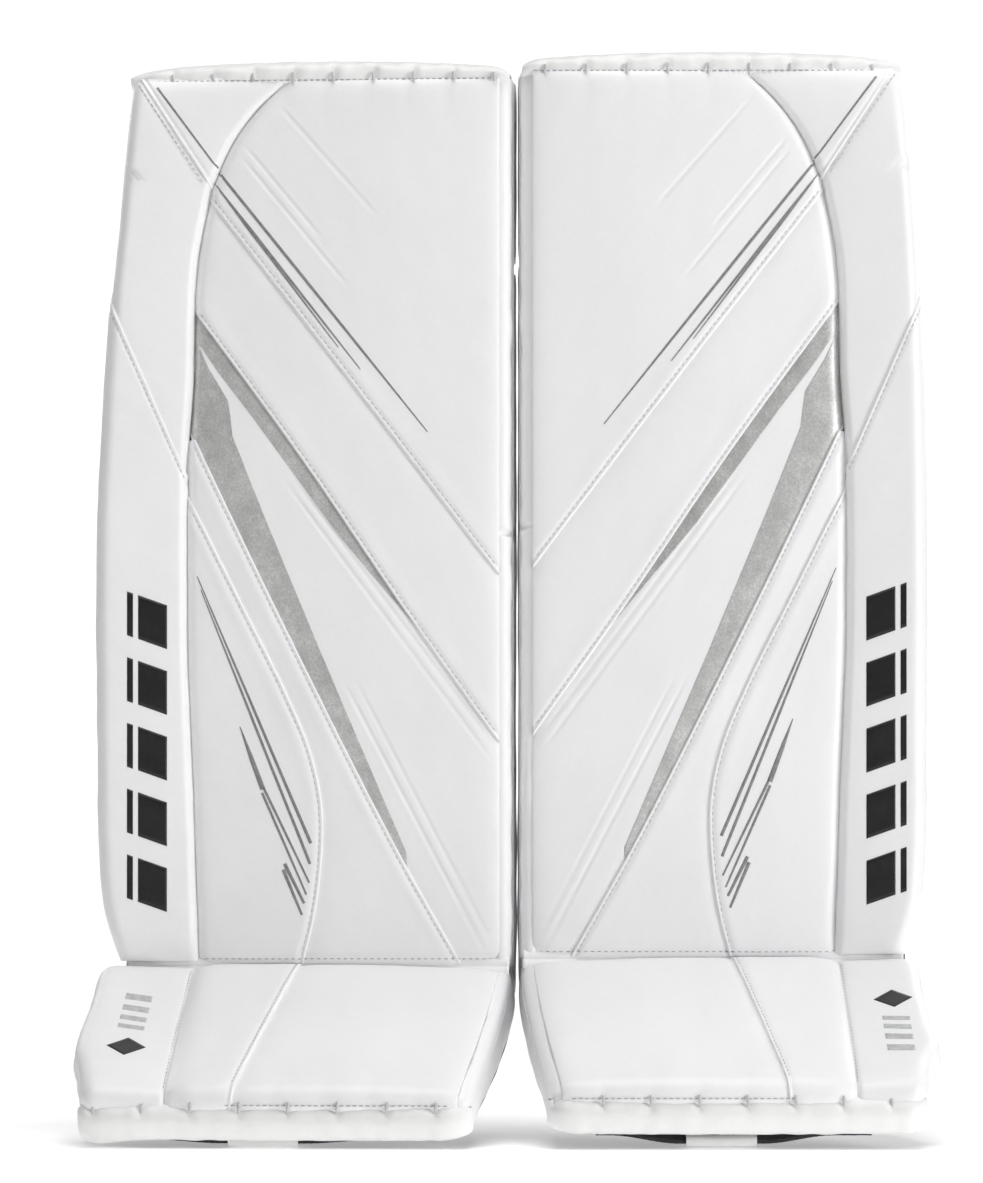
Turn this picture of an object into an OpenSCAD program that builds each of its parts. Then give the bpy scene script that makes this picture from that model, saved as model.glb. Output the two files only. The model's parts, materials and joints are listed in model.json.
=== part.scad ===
// A pair of ice hockey goalie leg pads, standing side by side with their faces towards -Y.
// One pad is drawn once, as the wearer's left: x runs from its medial edge to its outer edge,
// y from its face to the back of the leg, and z up from the lowest point of the toe.

/* [Pad] */
// Greatest width of a pad
pad_w = 276; // [250:1:279]
// Height of the ankle crease above the toe's lowest point
ankle_z = 106; // [100:1:112]
// Height of the face above the ankle crease
leg_h = 620; // [580:5:700]
// Height of the knee break above the ankle crease
knee_break = 478; // [440:2:520]
// Thickness of the foam core
core_t = 45; // [35:1:60]
// Thickness of the sewn cover
cover_t = 2.4; // [1.5:0.1:3]
// How far the outer roll stands in front of the face
roll_h = 12; // [6:1:18]

/* [Boot] */
// Angle of the boot from the line of the shin
boot_angle = 63; // [50:1:68]
// Length of the boot's face, from the ankle crease to the toe seam
boot_len = 180; // [160:1:200]
// Thickness of the toe
toe_t = 25; // [20:1:34]

/* [Leg channel] */
// Outer radius of the calf wrap
wrap_r = 108; // [100:1:112]
// Thickness of the calf wrap
wrap_t = 11; // [6:1:14]
// Depth of the knee stack behind the pad
stack_d = 86; // [70:1:95]
// Width of the strap webbing
strap_w = 38; // [25:1:45]
// Thickness of the strap webbing
strap_t = 2.6; // [2:0.1:3.5]

/* [Pair] */
// Gap between the two pads at their faces
pad_gap = 6; // [5:1:20]
// How far the right pad is turned out
right_turn = 3.5; // [0:0.5:4]
// Height of the right toe above the ground
right_lift = 8.8; // [8.6:0.1:12]
// Height of the left toe above the ground
left_lift = 13.8; // [10:0.1:16]

/* [Hidden] */
SIDES = ["right", "left"];
PIECES = [
    "thigh_core", "thigh_face", "thigh_roll", "thigh_cover", "top_binding",
    "shin_core", "shin_board", "shin_panel_upper", "shin_panel_band", "shin_panel_center",
    "shin_panel_lower", "shin_roll", "shin_cover", "calf_block", "side_block",
    "knee_stack", "strap_hardware",
    "boot_core", "boot_panels", "boot_roll", "boot_cover", "toe_binding",
    "calf_wrap", "upper_calf_strap", "lower_calf_strap", "knee_wing", "knee_strap",
    "boot_strap", "toe_bridge", "toe_keeper"
];

fit = 0.3;             // gap between sewn pieces of one body
centre = [-0.42, 12.81];   // middle of the pair, moved to the origin
top_z = ankle_z + leg_h;
knee_z = ankle_z + knee_break;
binding_h = 12;        // height of the top binding
face_top = top_z - binding_h - fit;
back_y = cover_t + 2.6 + core_t + fit + cover_t;   // outside of the back cover
core_front = cover_t + 2.6;
core_back = core_front + core_t;
knee_gap = 13;         // angle left free behind the knee break
ankle_fold = boot_angle / 2 - 6.5;   // slope of each core at the ankle, with the gap taken off
crease = 0.8;          // half of the gap between covers that meet at a break
roll_crease = 12;      // how far the rolls stop short of the ankle crease

// Outer edge of the pad: height above the ankle crease and share of the width
outer_edge = [[0, 0.966], [18, 0.972], [44, 0.989], [182, 1], [319, 1], [463, 0.986],
              [600, 0.943], [612, 0.935], [620, 0.92]];
// Edge of the outer roll, where it meets the face
roll_edge = [[0, 216], [46, 217], [136, 220], [216, 223], [346, 222.5], [396, 219],
             [480, 216], [510, 211], [538, 204], [568, 190], [590, 173], [608, 153]];

function mid(a, b, t) = a + (b - a) * t;
function outer_x(z) = pad_w * lookup(z - ankle_z, outer_edge);
function roll_x(z) = lookup(z - ankle_z, roll_edge);
function edge_points(edge, lo, hi, scale) =
    [[lookup(lo, edge) * scale, ankle_z + lo],
     for (p = edge) if (p[0] > lo && p[0] < hi) [p[1] * scale, ankle_z + p[0]],
     [lookup(hi, edge) * scale, ankle_z + hi]];
function reversed(list) = [for (i = [len(list) - 1 : -1 : 0]) list[i]];

// ---- Frames and blanks -------------------------------------------------------------------

// Places a pad in the pair
module on_side(side) {
    if (side == "left")
        translate([pad_gap / 2 - centre[0], -centre[1], left_lift]) children();
    else
        translate([-pad_gap / 2 - centre[0], -centre[1], right_lift])
            rotate([0, 0, -right_turn]) mirror([1, 0, 0]) children();
}

// Places a piece drawn hanging straight down from the ankle crease on the boot
module on_boot() {
    translate([0, 0, ankle_z]) rotate([-boot_angle, 0, 0]) children();
}

// A shape drawn in x and z, made solid from y0 to y1
module front_slab(y0, y1) {
    translate([0, y1, 0]) rotate([90, 0, 0]) linear_extrude(y1 - y0) children();
}

// A shape drawn in y and z, made solid from x0 to x1
module side_slab(x0, x1) {
    translate([x0, 0, 0]) rotate([90, 0, 90]) linear_extrude(x1 - x0) children();
}

// A shape drawn in x and y, made solid from z0 to z1
module level_slab(z0, z1) {
    translate([0, 0, z0]) linear_extrude(z1 - z0) children();
}

// The pad's outline between two heights above the ankle, inset at its two sides
module pad_outline(lo, hi, inset = 0) {
    polygon(concat([[inset, ankle_z + lo]],
                   [for (p = edge_points(outer_edge, lo, hi, pad_w)) [p[0] - inset, p[1]]],
                   [[inset, ankle_z + hi]]));
}

// The face, from the medial edge to the outer roll
module face_outline(lo, hi, inset = cover_t + fit) {
    polygon(concat([[inset, ankle_z + lo]],
                   [for (p = edge_points(roll_edge, lo, hi, 1)) [p[0] - fit, p[1]]],
                   [[inset, ankle_z + hi]]));
}

// The outer roll
module roll_outline(lo, hi) {
    polygon(concat(edge_points(roll_edge, lo, hi, 1),
                   reversed(edge_points(outer_edge, lo, hi, pad_w))));
}

// Side view of the pad's leg between two depths: cut at the ankle and level at the top
module leg_profile(y0, y1, hi) {
    polygon([[y0, ankle_z + crease - y0 * tan(ankle_fold)],
             [y1, ankle_z + crease - y1 * tan(ankle_fold)],
             [y1, ankle_z + hi], [y0, ankle_z + hi]]);
}

// Side view of the thigh rise: the wedge behind the knee break is left free
module thigh_profile(y0, y1, hi) {
    polygon([[y0, knee_z + crease + y0 * tan(knee_gap)],
             [y1, knee_z + crease + y1 * tan(knee_gap)],
             [y1, ankle_z + hi], [y0, ankle_z + hi]]);
}

// ---- Thigh rise --------------------------------------------------------------------------

thigh_top = leg_h - binding_h - fit;

module thigh_core() {
    color("lightyellow") intersection() {
        front_slab(core_front, core_back)
            pad_outline(knee_break, thigh_top - cover_t, cover_t + fit);
        side_slab(0, pad_w) thigh_profile(core_front, core_back, thigh_top);
    }
}

module thigh_face() {
    color("white") front_slab(0, cover_t) face_outline(knee_break + crease, thigh_top);
}

module thigh_roll() {
    color("white") front_slab(-roll_h, cover_t)
        roll_outline(knee_break + 2 * crease, thigh_top);
}

// Back and sides of the thigh rise
module thigh_cover() {
    color("white") difference() {
        intersection() {
            front_slab(cover_t + fit, back_y) pad_outline(knee_break, thigh_top);
            side_slab(-1, pad_w + 1) thigh_profile(0, back_y + 1, thigh_top);
        }
        front_slab(-1, core_back + fit) pad_outline(knee_break - 5, leg_h, cover_t);
    }
}

// Welt across the top, with its two corners cut back
module top_binding() {
    corner = 14;
    color("white") front_slab(-2, back_y) polygon([
        [0, top_z - binding_h], [outer_x(top_z - binding_h), top_z - binding_h],
        [outer_x(top_z) - 4, top_z - 3], [pad_w * 0.8, top_z], [pad_w * 0.2, top_z],
        [corner, top_z - 2], [corner / 4, top_z - binding_h / 2]]);
}

// ---- Shin --------------------------------------------------------------------------------

module shin_core() {
    color("lightyellow") intersection() {
        front_slab(core_front, core_back)
            pad_outline(-core_back, knee_break - crease, cover_t + fit);
        side_slab(0, pad_w) leg_profile(core_front, core_back, knee_break);
    }
}

// Stiff board between the face and the core
module shin_board() {
    edge = 14;
    color("dimgray") front_slab(cover_t + fit, core_front - fit)
        pad_outline(edge, knee_break - edge, edge);
}

// Fan of seams: each runs down from the outer roll to the medial edge
seam_a = [[260, 699 - 106], [208, 527], [9, 269], [-30, 218]];
seam_b = [[260, 508], [218, 450], [8, 153], [-30, 99]];
seam_c = [[260, 456], [220, 368], [145, 213], [77, 79], [35, 4], [14, -34]];

// The side of a seam that lies above it and towards the medial edge
module above(seam) {
    polygon(concat([for (p = seam) [p[0], ankle_z + p[1]]],
                   [[-60, ankle_z + seam[len(seam) - 1][1]], [-60, ankle_z + 800],
                    [260, ankle_z + 800]]));
}

// A face panel: the shin's face above one seam and below another
module shin_panel() {
    color("white") front_slab(0, cover_t) offset(delta = -fit / 2) intersection() {
        face_outline(crease, knee_break - crease);
        children();
    }
}

module shin_panel_upper() { shin_panel() above(seam_a); }
module shin_panel_band() { shin_panel() difference() { above(seam_b); above(seam_a); } }
module shin_panel_center() { shin_panel() difference() { above(seam_c); above(seam_b); } }
module shin_panel_lower() {
    shin_panel() difference() { translate([-60, 0]) square([400, 900]); above(seam_c); }
}

module shin_roll() {
    color("white") front_slab(-roll_h, cover_t) roll_outline(roll_crease, knee_break - crease);
}

// Back and sides of the shin
module shin_cover() {
    color("white") difference() {
        intersection() {
            front_slab(cover_t + fit, back_y) pad_outline(-back_y, knee_break - crease);
            side_slab(-1, pad_w + 1) leg_profile(0, back_y + 1, knee_break);
        }
        front_slab(-1, core_back + fit) pad_outline(-2 * back_y, knee_break + 5, cover_t);
    }
}

// ---- Leg channel -------------------------------------------------------------------------

channel_y = back_y + fit;      // front of what is sewn to the back cover
block_z = [ankle_z + 20, ankle_z + 240];      // height range of the calf block
stack_z = [ankle_z + 256, ankle_z + 404];     // height range of the knee stack
block_d = 51;                  // depth of the calf block
stack_w = 55;                  // width of the knee stack
block_w = 45;                  // width of the calf block
inset_x = 3;                   // how far the blocks stand in from the medial edge
side_d = 33;                   // depth of the side block
side_x = [pad_w - 38, pad_w - 8];   // width range of the side block
wrap_c = [pad_w - 118, channel_y + 19];   // centre of the calf wrap's arc
wrap_z = [ankle_z + 29, ankle_z + 239];
wing_z = [ankle_z + 262, ankle_z + 399];
wrap_arc = [9, 148];           // angles that the calf wrap spans
wing_arc = [9, 80];            // angles that the knee wing spans
calf_strap_z = [ankle_z + 66, ankle_z + 166];  // lower edges of the two calf straps
knee_strap_z = ankle_z + 312;  // lower edge of the knee strap

function arc_point(c, r, a) = [c[0] + r * cos(a), c[1] + r * sin(a)];

// A block with its back corners rounded, drawn in x and y
module round_backed(x0, x1, y0, y1, r) {
    hull() {
        translate([x0, y0]) square([x1 - x0, 1]);
        for (x = [x0 + r, x1 - r]) translate([x, y1 - r]) circle(r, $fn = 32);
    }
}

// Padded block beside the calf, on the medial edge
module calf_block() {
    color("whitesmoke") level_slab(block_z[0], block_z[1])
        round_backed(inset_x, inset_x + block_w, channel_y, channel_y + block_d, 8);
}

// Padded strip down the outer edge, which the wraps are sewn to
module side_block() {
    color("whitesmoke") level_slab(block_z[0], stack_z[1])
        round_backed(side_x[0], side_x[1], channel_y, channel_y + side_d, 6);
}

// Three layers of foam on the medial edge, which the knee lands on
module knee_stack() {
    layers = 3;
    layer_d = (stack_d - (layers - 1) * fit) / layers;
    color("gray") for (i = [0 : layers - 1])
        level_slab(stack_z[0], stack_z[1])
            translate([inset_x, channel_y + i * (layer_d + fit)])
                square([stack_w - 3 * i, layer_d]);
}

// Anchor plates on the outer side of the side block, each held by two screws
module strap_hardware() {
    plate = [2, 22, 32];
    head_r = 4.2;
    plate_x = side_x[1] + fit;
    color("black") for (z = concat(calf_strap_z, [knee_strap_z])) {
        translate([plate_x, channel_y + 5, z + strap_w / 2 - plate[2] / 2]) cube(plate);
        for (dz = [-8, 8])
            translate([plate_x - 14, channel_y + 5 + plate[1] / 2, z + strap_w / 2 + dz])
                rotate([0, 90, 0]) {
                    cylinder(h = 16, r = 2, $fn = 24);
                    translate([0, 0, 15]) cylinder(h = 3, r = head_r, $fn = 32);
                }
    }
}

// A curved shell behind the leg, between two angles and two heights
module arc_shell(c, r_in, r_out, arc, z) {
    translate([c[0], c[1], z[0]]) rotate([0, 0, arc[0]])
        rotate_extrude(angle = arc[1] - arc[0], $fn = 96)
            translate([r_in, 0]) square([r_out - r_in, z[1] - z[0]]);
}

module calf_wrap() {
    color("white") arc_shell(wrap_c, wrap_r - wrap_t, wrap_r, wrap_arc, wrap_z);
}

module knee_wing() {
    color("white") arc_shell(wrap_c, wrap_r - wrap_t, wrap_r, wing_arc, wing_z);
}

// A strap drawn along a line of points in x and y
module strap_line(points) {
    for (i = [0 : len(points) - 2]) hull() {
        translate(points[i]) circle(strap_t / 2, $fn = 16);
        translate(points[i + 1]) circle(strap_t / 2, $fn = 16);
    }
}

strap_r = wrap_r + strap_t / 2 + 0.6;     // radius of a strap's middle on a wrap

// Webbing that runs over a wrap and on to the back of a block
module webbing(arc, end_points, z) {
    steps = 16;
    over_wrap = [for (i = [0 : steps])
                 arc_point(wrap_c, strap_r, mid(arc[0], arc[1], i / steps))];
    color("dimgray") level_slab(z, z + strap_w) strap_line(concat(over_wrap, end_points));
}

calf_end = [[47, channel_y + block_d + 4.5], [12, channel_y + block_d + 2.6]];
knee_end = [[62, channel_y + stack_d + 4], [14, channel_y + stack_d + 2.6]];

module upper_calf_strap() { webbing([64, 148], calf_end, calf_strap_z[1]); }
module lower_calf_strap() { webbing([64, 148], calf_end, calf_strap_z[0]); }
module knee_strap() { webbing([44, 80], knee_end, knee_strap_z); }

// ---- Boot --------------------------------------------------------------------------------

boot_back = back_y - 1;        // depth of the boot at the ankle
wing_seam = 216;               // edge of the boot's outer roll
boot_outer = [[0, 0.962], [-60, 0.975], [-110, 0.982], [-150, 0.957], [-180, 0.946]];
boot_inner = [[0, 0], [-60, 2], [-110, 5], [-150, 7], [-180, 9]];
boot_seam = [[0, 143], [-180, 168]];

// The boot's outline in x and z as it hangs, from lo down to hi, inset at its two sides
module boot_outline(lo, hi, inset = 0) {
    polygon(concat([[inset, lo]],
        [for (p = boot_inner) if (p[0] < 0 && p[0] > hi) [p[1] + inset, p[0]]],
        [[lookup(hi, boot_inner) + inset, hi], [lookup(hi, boot_outer) * pad_w - inset, hi]],
        [for (p = reversed(boot_outer)) if (p[0] < 0 && p[0] > hi)
            [p[1] * pad_w - inset, p[0]]],
        [[boot_outer[0][1] * pad_w - inset, lo]]));
}

// Depth of the boot's underside at a height of the hanging boot
function sole(z) = mid(toe_t + 3, boot_back, (z + boot_len) / boot_len);

// Side view of the boot from y0 to its underside, between two heights
module boot_side(y0, lo, hi, inset = 0) {
    polygon([[y0, hi], [sole(hi) - inset, hi], [sole(lo) - inset, lo], [y0, lo]]);
}

// The same, ended at the toe and cut at the ankle
module boot_profile(y0, inset = 0) {
    reach = 80;
    intersection() {
        boot_side(y0, -boot_len, reach, inset);
        polygon([[-reach, -crease - reach * tan(ankle_fold)],
                 [reach, -crease + reach * tan(ankle_fold)],
                 [reach, -boot_len - reach], [-reach, -boot_len - reach]]);
    }
}

module boot_core() {
    color("lightyellow") on_boot() intersection() {
        side_slab(0, pad_w) boot_profile(cover_t + fit, cover_t + fit);
        front_slab(0, boot_back) boot_outline(60, -boot_len + 1, cover_t + fit);
    }
}

// Two face panels, parted by a slanting seam
module boot_panels() {
    color("white") on_boot() front_slab(0, cover_t) {
        polygon([[cover_t, -crease], [boot_seam[0][1] - fit, -crease],
                 [boot_seam[1][1] - fit, -boot_len], [boot_inner[4][1] + cover_t, -boot_len],
                 [boot_inner[2][1] + cover_t, boot_inner[2][0]]]);
        polygon([[boot_seam[0][1], -crease], [wing_seam - fit, -crease],
                 [wing_seam - fit, -boot_len], [boot_seam[1][1], -boot_len]]);
    }
}

// Outer roll of the boot
module boot_roll() {
    color("white") on_boot() front_slab(-roll_h, cover_t) polygon(concat(
        [[wing_seam, -roll_crease], [wing_seam, -boot_len],
         [boot_outer[4][1] * pad_w, -boot_len]],
        [for (i = [3 : -1 : 1]) [boot_outer[i][1] * pad_w, boot_outer[i][0]]],
        [[boot_outer[0][1] * pad_w, -roll_crease]]));
}

// Sides and underside of the boot
module boot_cover() {
    color("white") on_boot() difference() {
        intersection() {
            side_slab(-1, pad_w + 1) boot_profile(cover_t + fit);
            front_slab(-1, boot_back + 1) boot_outline(60, -boot_len);
        }
        intersection() {
            side_slab(-2, pad_w + 2) boot_side(-2, -boot_len - 10, 60, cover_t);
            front_slab(-2, boot_back + 10) boot_outline(80, -boot_len - 10, cover_t);
        }
    }
}

// Welt round the toe
module toe_binding() {
    color("white") on_boot() side_slab(boot_inner[4][1], boot_outer[4][1] * pad_w)
        polygon([[-2, -boot_len - fit], [toe_t + 3, -boot_len - fit],
                 [toe_t, -boot_len - 6], [toe_t - 5, -boot_len - 9],
                 [4, -boot_len - 9], [-2, -boot_len - 5]]);
}

boot_strap_z = [ankle_z - 18, ankle_z + 12];   // lower and upper edge of the boot strap
boot_strap_r = [122, 84];      // half of its span, and how far it stands behind the pad

// Strap that closes the leg channel behind the ankle, with its two ends flat on the pad
module boot_strap() {
    steps = 12;
    flat = channel_y + strap_t / 2 + fit;
    loop = [for (i = [0 : steps]) [pad_w / 2 + boot_strap_r[0] * cos(180 * i / steps),
                                   flat + boot_strap_r[1] * sin(180 * i / steps)]];
    color("dimgray") level_slab(boot_strap_z[0], boot_strap_z[1])
        strap_line(concat([[pad_w - 8, flat]], loop, [[8, flat]]));
}

// ---- Toe bridge --------------------------------------------------------------------------

bridge_x = [48, 228];          // ends of the toe bridge
bridge_w = 24;                 // width of its webbing
bridge_t = 2.6;                // thickness of its webbing
bridge_pivot = [33, -boot_len + 22];   // sewn edge, as the boot hangs: depth and height
eyelet_r = 4;
keeper_w = 46;
keeper_wall = 1.8;
keeper_fit = 0.2;

function drop(side) = side == "left" ? left_lift : right_lift;
function keeper_x(side) = side == "left" ? 130 : 154;

// The keeper's far corner from the sewn edge, and that edge's height above the toe
keeper_corner = [bridge_w + keeper_wall + keeper_fit, bridge_t + keeper_wall + keeper_fit];
pivot_height = ankle_z + bridge_pivot[1] * cos(boot_angle) - bridge_pivot[0] * sin(boot_angle);

// Tilt at which that corner just reaches the ground
function bridge_tilt(side) = asin((drop(side) + pivot_height) / norm(keeper_corner))
    - atan(keeper_corner[1] / keeper_corner[0]) - (90 - boot_angle);

// The frame of a bridge's webbing, which hangs from its sewn edge
module on_bridge(side) {
    on_boot() translate([0, bridge_pivot[0], bridge_pivot[1]])
        rotate([bridge_tilt(side), 0, 0]) children();
}

// Elastic webbing across the sole, with two eyelets for the toe tie
module toe_bridge(side) {
    eyelet_inset = 16;
    color("black") on_bridge(side) difference() {
        translate([bridge_x[0], 0, -bridge_w])
            cube([bridge_x[1] - bridge_x[0], bridge_t, bridge_w]);
        for (x = [bridge_x[0] + eyelet_inset, bridge_x[1] - eyelet_inset])
            translate([x, bridge_t + 1, -bridge_w / 2]) rotate([90, 0, 0])
                cylinder(h = bridge_t + 2, r = eyelet_r, $fn = 48);
    }
}

// Leather keeper folded round the webbing, which it slides along
module toe_keeper(side) {
    low = -bridge_w - keeper_fit;
    color("white") on_bridge(side)
        translate([keeper_x(side) - keeper_w / 2, 0, 0]) difference() {
            translate([0, -keeper_fit - keeper_wall, low - keeper_wall])
                cube([keeper_w, bridge_t + 2 * (keeper_fit + keeper_wall), bridge_w]);
            translate([-1, -keeper_fit, low])
                cube([keeper_w + 2, bridge_t + 2 * keeper_fit, bridge_w + 10]);
        }
}

for (side = SIDES) {
    on_side(side) thigh_core();
    on_side(side) thigh_face();
    on_side(side) thigh_roll();
    on_side(side) thigh_cover();
    on_side(side) top_binding();
    on_side(side) shin_core();
    on_side(side) shin_board();
    on_side(side) shin_panel_upper();
    on_side(side) shin_panel_band();
    on_side(side) shin_panel_center();
    on_side(side) shin_panel_lower();
    on_side(side) shin_roll();
    on_side(side) shin_cover();
    on_side(side) calf_block();
    on_side(side) side_block();
    on_side(side) knee_stack();
    on_side(side) strap_hardware();
    on_side(side) boot_core();
    on_side(side) boot_panels();
    on_side(side) boot_roll();
    on_side(side) boot_cover();
    on_side(side) toe_binding();
    on_side(side) calf_wrap();
    on_side(side) upper_calf_strap();
    on_side(side) lower_calf_strap();
    on_side(side) knee_wing();
    on_side(side) knee_strap();
    on_side(side) boot_strap();
    on_side(side) toe_bridge(side);
    on_side(side) toe_keeper(side);
}
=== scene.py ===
"""Looks of a pair of goalie leg pads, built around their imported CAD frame.

Shapes are worked out in millimetres in a pad's own frame, as in the part: x from the medial edge
outwards, y from the face backwards, z up. `up` is the height above the ankle crease.
"""

import json
import math

import bmesh
import bpy
import numpy as np
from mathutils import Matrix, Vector


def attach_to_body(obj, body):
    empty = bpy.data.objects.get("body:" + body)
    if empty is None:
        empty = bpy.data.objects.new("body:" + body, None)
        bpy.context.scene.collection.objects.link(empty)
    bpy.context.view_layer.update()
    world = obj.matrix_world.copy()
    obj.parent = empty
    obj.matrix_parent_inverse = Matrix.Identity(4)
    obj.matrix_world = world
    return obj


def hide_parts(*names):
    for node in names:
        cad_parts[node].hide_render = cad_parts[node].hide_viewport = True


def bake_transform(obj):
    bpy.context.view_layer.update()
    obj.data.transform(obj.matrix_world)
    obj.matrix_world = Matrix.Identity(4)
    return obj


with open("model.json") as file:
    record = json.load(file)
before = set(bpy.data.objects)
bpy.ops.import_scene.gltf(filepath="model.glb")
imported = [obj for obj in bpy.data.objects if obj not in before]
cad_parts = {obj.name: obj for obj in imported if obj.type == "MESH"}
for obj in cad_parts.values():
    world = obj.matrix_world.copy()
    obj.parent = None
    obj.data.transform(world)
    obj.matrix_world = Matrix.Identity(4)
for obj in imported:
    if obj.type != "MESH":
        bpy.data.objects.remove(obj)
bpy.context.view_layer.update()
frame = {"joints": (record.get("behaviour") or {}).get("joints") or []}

MM = 0.001
SIDES = ("right", "left")

# Sizes repeated from the part
PAD_W = 276.0
ANKLE_Z = 106.0
KNEE = 478.0
FACE_TOP = 607.7
MID_X = PAD_W / 2
BACK_Y = 52.7
CHANNEL_Y = 53.0
BOOT_ANGLE = 63.0
BOOT_LEN = 180.0
BOOT_BACK = 51.7
TOE_T = 28.0
ANKLE_FOLD = math.tan(math.radians(25.0))
KNEE_FOLD = math.tan(math.radians(13.0))
ROLL_H = 14.5
WING_SEAM = 216.0


# ---- Curves ------------------------------------------------------------------------------

class Curve:
    """A smooth function through a list of points (t, value)."""

    def __init__(self, points, smooth=True, steps=12):
        p = np.array(sorted(points), float)
        t, v = p[:, 0], p[:, 1]
        if not smooth:
            self.t, self.v = t, v
            return
        slope = np.diff(v) / np.diff(t)
        m = np.concatenate([[slope[0]], (slope[:-1] + slope[1:]) / 2, [slope[-1]]])
        ts, vs = [], []
        for i in range(len(t) - 1):
            s = np.linspace(0, 1, steps, endpoint=False)
            h = t[i + 1] - t[i]
            vs.append((2 * s**3 - 3 * s**2 + 1) * v[i] + (s**3 - 2 * s**2 + s) * h * m[i]
                      + (3 * s**2 - 2 * s**3) * v[i + 1] + (s**3 - s**2) * h * m[i + 1])
            ts.append(t[i] + s * h)
        self.t = np.concatenate(ts + [t[-1:]])
        self.v = np.concatenate(vs + [v[-1:]])

    def __call__(self, t):
        return np.interp(t, self.t, self.v)

    def line(self, lo, hi, n=80):
        """Points (value, t) along the curve between two values of t."""
        t = np.linspace(lo, hi, n)
        return np.stack([self(t), t], 1)


def const(value):
    return lambda t: np.full_like(np.asarray(t, float), value)


def lengths(p):
    """Distance of each point of a polyline from its start."""
    return np.concatenate([[0], np.cumsum(np.linalg.norm(np.diff(p, axis=0), axis=1))])


def sampled(p, t, smooth=False):
    """Points at distances t along a polyline, or along a smooth curve through its corners."""
    d = lengths(p)
    return np.stack([Curve(list(zip(d, v)))(t) if smooth else np.interp(t, d, v) for v in p.T], 1)


roll_edge = Curve([(-30, 216), (0, 216), (46, 217), (136, 220), (216, 223), (346, 222.5),
                   (396, 219), (480, 216), (510, 211), (538, 204), (568, 190), (590, 173),
                   (608, 153), (626, 132)])
outer_edge = Curve([(z, s * PAD_W) for z, s in (
    (-30, 0.966), (0, 0.966), (18, 0.972), (44, 0.989), (182, 1), (319, 1), (463, 0.986),
    (600, 0.943), (612, 0.935), (620, 0.92), (640, 0.90))])

# Seams of the face: height as a function of x
seam_a = Curve([(-40, 205), (9, 269), (60, 336), (120, 414), (208, 527), (260, 593)])
seam_b = Curve([(-40, 86), (8, 153), (70, 240), (145, 350), (218, 450), (270, 520)])
seam_c = Curve([(-20, -100), (14, -34), (35, 4), (77, 79), (145, 213), (220, 368), (262, 460)])
# Edge of the curved overlay: x as a function of height
seam_d = Curve([(-20, 147), (1, 143), (35, 134.5), (75, 129.5), (112, 129.5), (150, 138),
                (190, 155), (250, 185), (325, 223), (345, 234)])
# The last of them turned round: x as a function of height
seam_c_x = Curve(list(zip(seam_c.v, seam_c.t)), smooth=False)


def seam_points(seam, lo=-10, hi=240, n=160):
    """Points (x, up) along a seam that is a function of x."""
    t = np.linspace(lo, hi, n)
    return np.stack([t, seam(t)], 1)


def distance(x, z, line):
    """Distance of points to a polyline of (x, z)."""
    best = np.full(np.shape(x), 1e9)
    for (ax, az), (bx, bz) in zip(line[:-1], line[1:]):
        dx, dz = bx - ax, bz - az
        t = np.clip(((x - ax) * dx + (z - az) * dz) / (dx * dx + dz * dz + 1e-12), 0, 1)
        best = np.minimum(best, np.hypot(x - ax - t * dx, z - az - t * dz))
    return best


def along(x, z, a, b):
    """(place from 0 to 1 along the segment a-b, distance from it)."""
    dx, dz = b[0] - a[0], b[1] - a[1]
    t = np.clip(((x - a[0]) * dx + (z - a[1]) * dz) / (dx * dx + dz * dz), 0, 1)
    return t, np.hypot(x - a[0] - t * dx, z - a[1] - t * dz)


WAVES = 7


def ripple(x, y, scale, seed):
    """Smooth seeded unevenness of about unit height."""
    rng = np.random.default_rng(seed)
    total = 0
    for _ in range(WAVES):
        a, k, ph = rng.uniform(0, 2 * math.pi), rng.uniform(0.6, 1.7) / scale, rng.uniform(0, 6.3)
        total = total + np.sin((x * math.cos(a) + y * math.sin(a)) * k * 6.283 + ph)
    return total / math.sqrt(WAVES)


def fade(d, reach):
    """1 up to d = 0, and falling away beyond it."""
    return np.exp(-np.clip(d, 0, None) / reach)


def groove(d, width):
    """1 at d = 0, falling to 0 on both sides."""
    return np.exp(-((d / width) ** 2))


def quarter(d, r):
    """Height, from 0 to 1, of a rounded edge of radius r at distance d from the edge."""
    t = np.clip(1 - np.asarray(d, float) / r, 0, 1)
    return np.sqrt(np.clip(1 - t * t, 0, 1))


# ---- Frames ------------------------------------------------------------------------------

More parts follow.
